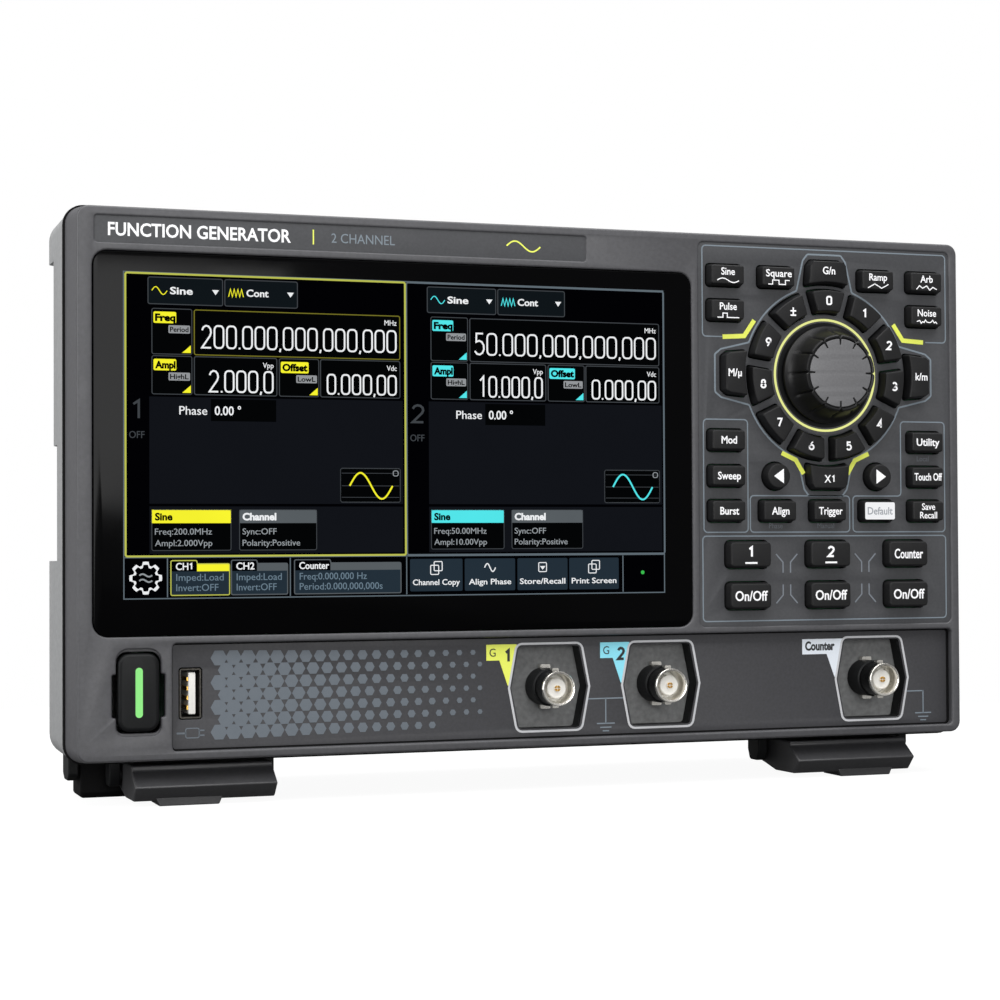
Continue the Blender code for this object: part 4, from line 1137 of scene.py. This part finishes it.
def draw_tags(pane):
    """Boxes that name each value, with the other way to give it and a corner mark."""
    rows = (("Freq", "Period", -110.6, -100.05, 106.2, 118.1, 6.4, 5.4),
            ("Ampl", "HighL", -110.6, -100.05, 95.7, 105.7, 6.4, 5.4),
            ("Offset", "LowL", -76.5, -65.7, 95.7, 105.7, 8.0, 6.9))
    for tag, other, low, high, bottom, top, tag_width, word_width in rows:
        pane.field(low, high, bottom, top, width=0.22)
        pane.area(low + 0.4, low + tag_width, top - 3.8, top - 0.8, pane.accent, 3, 0.4)
        pane.words(tag, low + 0.8, top - 3.2, 1.75, "screen_field", word_width, 0.05)
        pane.area(high - 6.2, high - 0.5, top - 6.4, top - 4.3, "screen_tag", 3, 0.3)
        pane.words(other, high - 3.35, top - 6.0, 1.25, "screen_field", 4.9, 0.02, align=0.5)
        x = high + pane.shift
        mark = [(x - 2.6, bottom + 0.4), (x - 0.3, bottom + 0.4), (x - 0.3, bottom + 2.4)]
        pane.print_shape(mark, GLASS_FRONT, pane.accent, 3)


def draw_value(pane, box, number, unit, start, rise, cap, line="screen_dim"):
    _, high, bottom, top = box
    pane.field(*box, line)
    pane.words(unit, high - 0.9, top - 2.6, 1.4, "screen_white", align=1.0)
    span = (start + pane.shift, high - 0.9 + pane.shift)
    pane.figures(number, span, bottom + rise, cap, GLASS_FRONT, "screen_white", 0.44, layer=4)


def draw_preview(pane):
    """Small picture of the wave over three grid lines."""
    shift, middle = pane.shift, 71.9
    pane.area(-59.7, -43.0, 67.5, 76.6, "screen_field", 2)
    pane.edge(-59.7, -43.0, 67.5, 76.6, "screen_dim")
    for level in (68.8, middle, 75.3):
        line = [(-59.4 + shift, level), (-43.3 + shift, level)]
        pane.stroke(line, 0.15, GLASS_FRONT, "screen_dim", layer=3)
    wave = [(-57.2 + shift + x / 4, middle + 3.5 * math.sin(x * math.tau / 48)) for x in range(49)]
    pane.stroke(wave, 0.45, GLASS_FRONT, pane.accent, layer=4)
    pane.edge(-45.0, -43.6, 74.6, 76.0, "screen_grey", 0.2, 4)


def draw_cards(pane, notes):
    """Cards at the bottom that sum up the wave and the channel."""
    cards = ((-110.7, -89.7, "Sine", pane.accent, "screen_field", notes),
             (-87.4, -66.4, "Channel", "screen_head", "screen_white", ("Sync:OFF", "Polarity:Positive")))
    for low, high, title, head, title_look, lines in cards:
        pane.field(low, high, 54.75, 65.4, width=0.2)
        pane.area(low, high, 61.9, 65.4, head, 3)
        pane.words(title, low + 0.8, 62.7, 1.8, title_look, bold=0.04, wide=1.05)
        for line, level in zip(lines, (58.9, 55.9)):
            pane.words(line, low + 0.8, level, 1.6, "screen_grey", wide=1.05)


def gear_outline(x, z, radius, teeth=8):
    points = []
    for tooth in range(teeth):
        middle = 360 * tooth / teeth
        points += arc((x, z), radius, middle - 10, middle + 10, 2)
        points += arc((x, z), radius * 0.78, middle + 17, middle + 28, 2)
    return points


def make_bottom_bar():
    bar = Piece("bottom_bar")
    base = GLASS_FRONT
    gear = (-112.3, 47.6)
    bar.plate(gear_outline(*gear, 4.3), [gear_outline(*gear, 3.5)], base - 0.05, base + 0.05, "screen_white")
    for level in (-0.7, 0.7):
        wave = [(gear[0] + a * 1.7, gear[1] + level + b * 0.7) for a, b in WAVES["sine"]]
        bar.stroke(wave, 0.4, base, "screen_grey", layer=2)
    tabs = ((-105.7, -90.1, 6.9, "CH1", 3.3, "screen_border", "screen_yellow",
             (("Imped:Load", 12.6), ("Invert:OFF", 11.2))),
            (-89.6, -74.4, 6.9, "CH2", 4.9, "screen_head", "screen_head",
             (("Imped:Load", 12.2), ("Invert:OFF", 10.8))),
            (-72.5, -42.9, 9.9, "Counter", 8.2, "screen_head", "screen_head",
             (("Freq:0.000,000 Hz", 18.6), ("Period:0.000,000,000s", 23.0))))
    for low, high, title_width, title, title_span, edge, head, lines in tabs:
        title_end = low + title_width
        bar.print_shape(box_outline((low, high), (43.0, 49.25)), base, "screen_tab")
        bar.print_shape(box_outline((title_end, high), (49.25, 51.2)), base, head)
        route = [(low, 43.0), (high, 43.0), (high, 51.2), (title_end, 51.2), (title_end, 52.1),
                 (low, 52.1)]
        bar.stroke(fillet(route, 0.4, 3), 0.28, base, edge, closed=True, layer=2)
        word = "CH" if title == "CH1" else title
        bar.text(word, (low + 1.3, 49.65), 1.8, base, "screen_white", title_span, 0.015, 0.0, layer=3)
        if word != title:
            bar.figures("1", (low + 4.7, low + 6.0), 49.65, 1.8, base, "screen_white", 0.32, layer=3)
        for (line, span), level in zip(lines, (46.8, 44.1)):
            bar.text(line, (low + 1.4, level), 1.8, base, "screen_word", span, align=0.0, layer=3)
    buttons = ((-40.3, -25.3, "Channel Copy"), (-24.65, -10.0, "Align Phase"),
               (-9.3, 5.5, "Store/Recall"), (6.0, 20.9, "Print Screen"))
    for index, (low, high, title) in enumerate(buttons):
        middle = (low + high) / 2
        bar.print_shape(box_outline((low, high), (43.3, 52.1), 0.4), base, "screen_tab")
        width = min(13.6, len(title) * 1.12)
        bar.text(title, (middle, 45.0), 1.5, base, "screen_white", width, 0.012, layer=2)
        button_icon(bar, index, middle, 49.6)
    bar.print_shape(circle((28.2, 47.9), 0.55, 16), base, "screen_green")
    bar.finish("case")


def button_icon(bar, index, x, z):
    base = GLASS_FRONT
    if index == 1:
        path = [(x + a * 1.6, z + b * 2.2) for a, b in WAVES["sine"]]
        bar.stroke(path, 0.3, base, "screen_white", layer=2)
        return
    offset = 0.5 if index in (0, 3) else 0.0
    for step in ((-offset, -offset), (offset, offset)):
        outline = centred((x + step[0], z + step[1]), (2.3, 2.5), 0.3)
        bar.stroke(outline, 0.25, base, "screen_white", closed=True, layer=2)
    if index == 2:
        bar.print_shape([(x - 0.8, z + 0.3), (x, z - 0.7), (x + 0.8, z + 0.3)], base, "screen_white", 3)


# Rear cover


def shell_solid(name, rows):
    """Solid through boxes of half width, bottom, top and corner radius, each at its depth."""
    piece = Piece(name)
    piece.stack([(box_outline((-half, half), (low, high), radius, 0.0, 8), depth)
                 for half, low, high, radius, depth in rows], "cover_grey")
    return piece


def make_cover():
    inset, wall = 0.3, 1.2
    half, low, high = FACE_WIDTH / 2 + SIDE_FLARE - inset, inset - TOP_FLARE, FACE_HEIGHT + TOP_FLARE - inset
    cover = shell_solid("cover_shell", (
        (half - 0.4, low + 0.4, high - 0.4, 5.2, BEZEL_DEPTH + 0.3),
        (half, low, high, 5.5, BEZEL_DEPTH + 0.7),
        (132.0, low, high, 6.0, 37.0), (112.0, low, 133.0, 9.0, 60.0), (108.0, 3.0, 129.0, 9.0, 65.5),
        (105.6, 5.4, 126.6, 9.0, CASE_DEPTH - 0.4), (105.0, 6.0, 126.0, 9.0, CASE_DEPTH)))
    low, high = wall, FACE_HEIGHT - wall
    cover.cut(shell_solid("hollow", (
        (130.1, low, high, 3.5, BEZEL_DEPTH - 1.0), (130.1, low, high, 3.5, 17.0),
        (116.0, low, high, 3.5, 22.0), (116.0, low, high, 3.5, 38.0), (106.0, low, 130.0, 6.0, 60.0),
        (104.0, 7.0, 125.0, 6.0, CASE_DEPTH - 2.2))))
    slope, edge, beyond, end = 0.39, 132.6, 140.0, 60.0
    for start, low, high in ((20.0, 52.0, 83.0), (26.5, 83.0, 133.0)):
        scoops = Piece("scoops")
        for side in (-1, 1):
            inner = edge - slope * (end - start)
            points = [(side * edge, start), (side * beyond, start), (side * beyond, end), (side * inner, end)]
            scoops.solid([scoops.ring((x, depth, level) for x, depth in points) for level in (low, high)],
                         "cover_grey")
        cover.cut(scoops)
    cover.cut(rear_openings())
    cover.finish("case", "cover_plastic", ["rear_cover"], bevel=0.35, smooth=28)
    make_bosses()


def rear_openings():
    """Fan slots, socket window and screw holes through the back wall."""
    near, far = CASE_DEPTH - 3.2, CASE_DEPTH + 1.0
    fan = centre_of("fan_frame")
    holes = Piece("rear_openings")
    pitch, reach_limit = 5.0, 18.5
    for row in range(-3, 4):
        z = fan[1] + row * pitch
        reach = math.sqrt(reach_limit ** 2 - (row * pitch) ** 2)
        slot = box_outline((fan[0] - reach, fan[0] + reach), (z - 1.5, z + 1.5), 1.3)
        holes.prism(slot, near, far, "cover_grey")
    holes.prism(box_outline((-28.0, 88.0), (13.0, 37.0), 2.0), near, far, "cover_grey")
    for place in SCREWS:
        holes.prism(circle(place, 2.1, 24), near, far, "cover_grey")
    return holes


def make_bosses():
    """Hinge lugs of the front feet, and the rounded bosses outside the rear feet."""
    bosses = Piece("foot_bosses")
    for side in (-1, 1):
        foot = centre_of("front_foot_left" if side < 0 else "front_foot_right")[0]
        for end in (-1, 1):
            low, high = sorted((foot + end * 19.5, foot + end * 22.5))
            profile = [(19.7, 0.5), (19.7, -5.5), (21.0, -8.5), (26.0, -8.5), (27.3, -5.5), (27.3, 0.5)]
            bosses.bar(fillet(profile, 1.2, 4), low, high, "satin_black")
        low, high = sorted((side * 125.3, side * 128.2))
        profile = [(28.5, 0.5), (28.5, -6.0), (31.0, -7.5), (36.0, -7.5), (38.5, -6.0), (38.5, 0.5)]
        bosses.bar(fillet(profile, 1.4, 4), low, high, "satin_black")
    bosses.finish("case", "cover_plastic", bevel=0.4)


def make_rear_sockets():
    plate = Piece("socket_plate")
    sockets = {"network": ((28.0, SOCKET_LEVEL), (16.0, 13.5), 15.0),
               "device": ((54.0, SOCKET_LEVEL), (8.6, 7.8), 10.0)}
    inlet = (74.0, SOCKET_LEVEL)
    holes = [centred(place, size, 0.4) for place, size, depth in sockets.values()] + [circle(inlet, 3.3, 40)]
    plate.plate(box_outline((-30.5, 90.5), (10.5, 39.5), 0.8), holes, 64.0, 65.5, "zinc_sheet", 0.1)
    plate.finish("case", "zinc_steel", ["rear_io_bracket"])
    for name, (place, size, depth) in sockets.items():
        cup = Piece(f"{name}_cup")
        back = 65.5 - depth
        inner, outer = centred(place, size, 0.4, -0.1), centred(place, size, 0.4, 0.8)
        cup.stack([(inner, back), (inner, 65.4), (outer, 65.4), (outer, back - 1.0)],
                  "satin_black" if name == "network" else "zinc_sheet")
        cup.finish("case")
    cup = Piece("power_inlet_cup")
    cup.turned([(0.0, 54.9), (3.2, 54.9), (3.2, 65.4), (4.1, 65.4), (4.1, 54.4), (0.0, 54.4)], inlet,
               "satin_black", 40)
    cup.finish("case")
    pin = Piece("power_inlet_pin")
    pin.turned([(0.0, 54.6), (1.0, 54.6), (1.0, 63.6), (0.7, 64.0), (0.0, 64.0)], inlet, "nickel_plate", 24)
    pin.finish("case")
    pins = Piece("network_contacts")
    x, z = sockets["network"][0]
    for index in range(8):
        spot = (x + (index - 3.5) * 1.02, z + 3.6)
        pins.prism(centred(spot, (0.4, 0.8)), 54.0, 63.0, "gold_plate")
    pins.finish("case")
    core = Piece("device_core")
    core.prism(centred(sockets["device"][0], (5.6, 3.2), 0.3), 56.2, 64.6, "insulator_white")
    core.finish("case")
    inserts = Piece("screw_inserts")
    for place in SCREWS:
        inserts.turned([(1.6, 66.0), (2.05, 66.0), (2.05, 67.9), (1.6, 67.9)], place, "gold_plate", 32, True)
    inserts.finish("case")


# Feet


def make_front_foot(side):
    word = "left" if side < 0 else "right"
    node = f"front_foot_{word}"
    x = centre_of(node)[0]
    low, high = x - 19.0, x + 19.0
    pivot = (23.5, -5.5)
    profile = [(6.3, -1.8), (6.3, -3.1), (0.7, -7.0), (4.3, -10.9), (16.0, -11.0)]
    barrel = arc(pivot, 3.8, -90, 90, 12)
    leg = Piece(f"{word}_leg")
    leg.bar([*profile, *barrel], low, high, "foot_black")
    leg.finish(node, "black_plastic", [node], bevel=0.45)
    tab = Piece(f"{word}_finger_tab")
    middle = side * (abs(x) + 4.2)
    corners = [(middle - 8.0, -FACE_Z / MM + 0.02), (middle + 8.0, -FACE_Z / MM + 0.02),
               (middle + 9.0, -10.0), (middle - 9.0, -10.0)]
    tab.prism(corners, 3.6, 14.5, "foot_black")
    tab.finish(node, "black_plastic", bevel=0.25)
    pins = Piece(f"{word}_hinge_pins")
    for end in (-1, 1):
        start, stop = sorted((x + end * 18.0, x + end * 21.6))
        pins.bar(circle(pivot, 1.5, 24), start, stop, "foot_black")
    pins.finish(node, "black_plastic", bevel=0.2)


def make_rear_foot(side):
    word = "left" if side < 0 else "right"
    node = f"rear_foot_{word}"
    low, high = sorted((side * 88.8, side * 124.9))
    bottom = -FACE_Z / MM
    block = Piece(f"{word}_rubber_block")
    block.stack([
        (box_outline((low, high), (bottom + 1.5, -TOP_FLARE), 1.2), 29.0),
        (box_outline((low, high), (bottom, -TOP_FLARE), 1.2), 30.5),
        (box_outline((low, high), (bottom, -TOP_FLARE), 1.2), 42.0),
    ], "foot_rubber")
    block.finish("case", "foot_rubber", [node], bevel=0.3)


# Carried-over nodes, stage, lights and camera


def dress_nodes():
    """Gives the inner CAD nodes that stay their finishes."""
    looks = {"lcd_module": "satin_black", "key_board": "solder_mask", "main_board": "solder_mask",
             "encoder_body": "zinc_sheet", "encoder_shaft": "nickel_plate", "fan_frame": "satin_black",
             "fan_impeller": "satin_black"}
    for node, look in looks.items():
        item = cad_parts[node]
        for slot in item.material_slots:
            slot.link = "OBJECT"
            slot.material = MATERIALS[look]


def make_floor():
    """Round white light table, lit from within, that the object stands on."""
    mesh = bmesh.new()
    bmesh.ops.create_circle(mesh, cap_ends=True, segments=96, radius=FLOOR_RADIUS)
    data = bpy.data.meshes.new("floor")
    mesh.to_mesh(data)
    mesh.free()
    moulded("floor_pale", (0.1, 0.1, 0.1), 0.8, grain=60.0, strength=0.02, spread=0.01, gloss=0.0)
    shader = MATERIALS["floor_pale"].node_tree.nodes["Principled BSDF"]
    shader.inputs["Emission Color"].default_value = (1.0, 1.0, 1.0, 1.0)
    tree = MATERIALS["floor_pale"].node_tree
    rays = tree.nodes.new("ShaderNodeLightPath")
    strength = tree.nodes.new("ShaderNodeMapRange")
    strength.inputs["To Min"].default_value = FLOOR_LIGHT
    strength.inputs["To Max"].default_value = FLOOR_SEEN
    tree.links.new(rays.outputs["Is Camera Ray"], strength.inputs["Value"])
    tree.links.new(strength.outputs["Result"], shader.inputs["Emission Strength"])
    data.materials.append(MATERIALS["floor_pale"])
    floor = bpy.data.objects.new("floor", data)
    bpy.context.scene.collection.objects.link(floor)


def add_light(name, place, target, size, power):
    lamp = bpy.data.lights.new(name, "AREA")
    lamp.shape = "RECTANGLE"
    lamp.size, lamp.size_y = size
    lamp.energy = power
    item = bpy.data.objects.new(name, lamp)
    item.location = place
    item.rotation_euler = (Vector(target) - Vector(place)).to_track_quat("-Z", "Y").to_euler()
    bpy.context.scene.collection.objects.link(item)


def make_world():
    """Studio that is white behind the object and dimmer as a light on it."""
    world = bpy.data.worlds.new("studio")
    world.use_nodes = True
    tree = world.node_tree
    seen = tree.nodes["Background"]
    seen.inputs["Color"].default_value = (1.0, 1.0, 1.0, 1.0)
    lit = tree.nodes.new("ShaderNodeBackground")
    lit.inputs["Color"].default_value = (1.0, 1.0, 1.0, 1.0)
    lit.inputs["Strength"].default_value = 0.45
    rays = tree.nodes.new("ShaderNodeLightPath")
    choice = tree.nodes.new("ShaderNodeMixShader")
    tree.links.new(rays.outputs["Is Camera Ray"], choice.inputs["Fac"])
    tree.links.new(lit.outputs["Background"], choice.inputs[1])
    tree.links.new(seen.outputs["Background"], choice.inputs[2])
    tree.links.new(choice.outputs["Shader"], tree.nodes["World Output"].inputs["Surface"])
    bpy.context.scene.world = world


def make_lights():
    bpy.context.scene.view_settings.view_transform = "Standard"
    make_world()
    middle = (0.0, 0.0, 0.08)
    add_light("left_light", (-1.5, 0.0, 0.35), middle, (1.0, 1.0), 13.0)
    add_light("key_light", (-0.9, -0.7, 0.9), middle, (0.7, 0.7), 5.0)
    add_light("top_light", (0.1, -0.3, 1.6), middle, (2.0, 2.0), 46.0)
    add_light("front_panel", (-0.05, -2.0, 0.32), (0.0, -0.03, 0.32), (0.7, 0.75), 13.0)


def make_camera():
    yaw, pitch, roll = CAMERA_TURN
    turn = Matrix.Rotation(yaw, 4, "Z") @ Matrix.Rotation(pitch, 4, "X") @ Matrix.Rotation(roll, 4, "Y")
    lens = bpy.data.cameras.new("camera")
    lens.lens = CAMERA_LENS
    lens.sensor_width = SENSOR
    lens.clip_start, lens.clip_end = 0.01, 50.0
    camera = bpy.data.objects.new("camera", lens)
    camera.matrix_world = Matrix.Translation(CAMERA_PLACE) @ turn @ Matrix.Rotation(math.pi / 2, 4, "X")
    bpy.context.scene.collection.objects.link(camera)
    bpy.context.scene.camera = camera


def main():
    make_materials()
    keys = key_outlines()
    make_bezel(keys)
    make_strip_print()
    make_overlay_lines()
    make_keys(keys)
    make_knob()
    make_panel()
    make_panel_print()
    make_dots()
    make_jacks()
    make_usb()
    make_power()
    make_display()
    make_cover()
    make_rear_sockets()
    for side in (-1, 1):
        make_front_foot(side)
        make_rear_foot(side)
    dress_nodes()
    make_floor()
    make_lights()
    make_camera()


main()
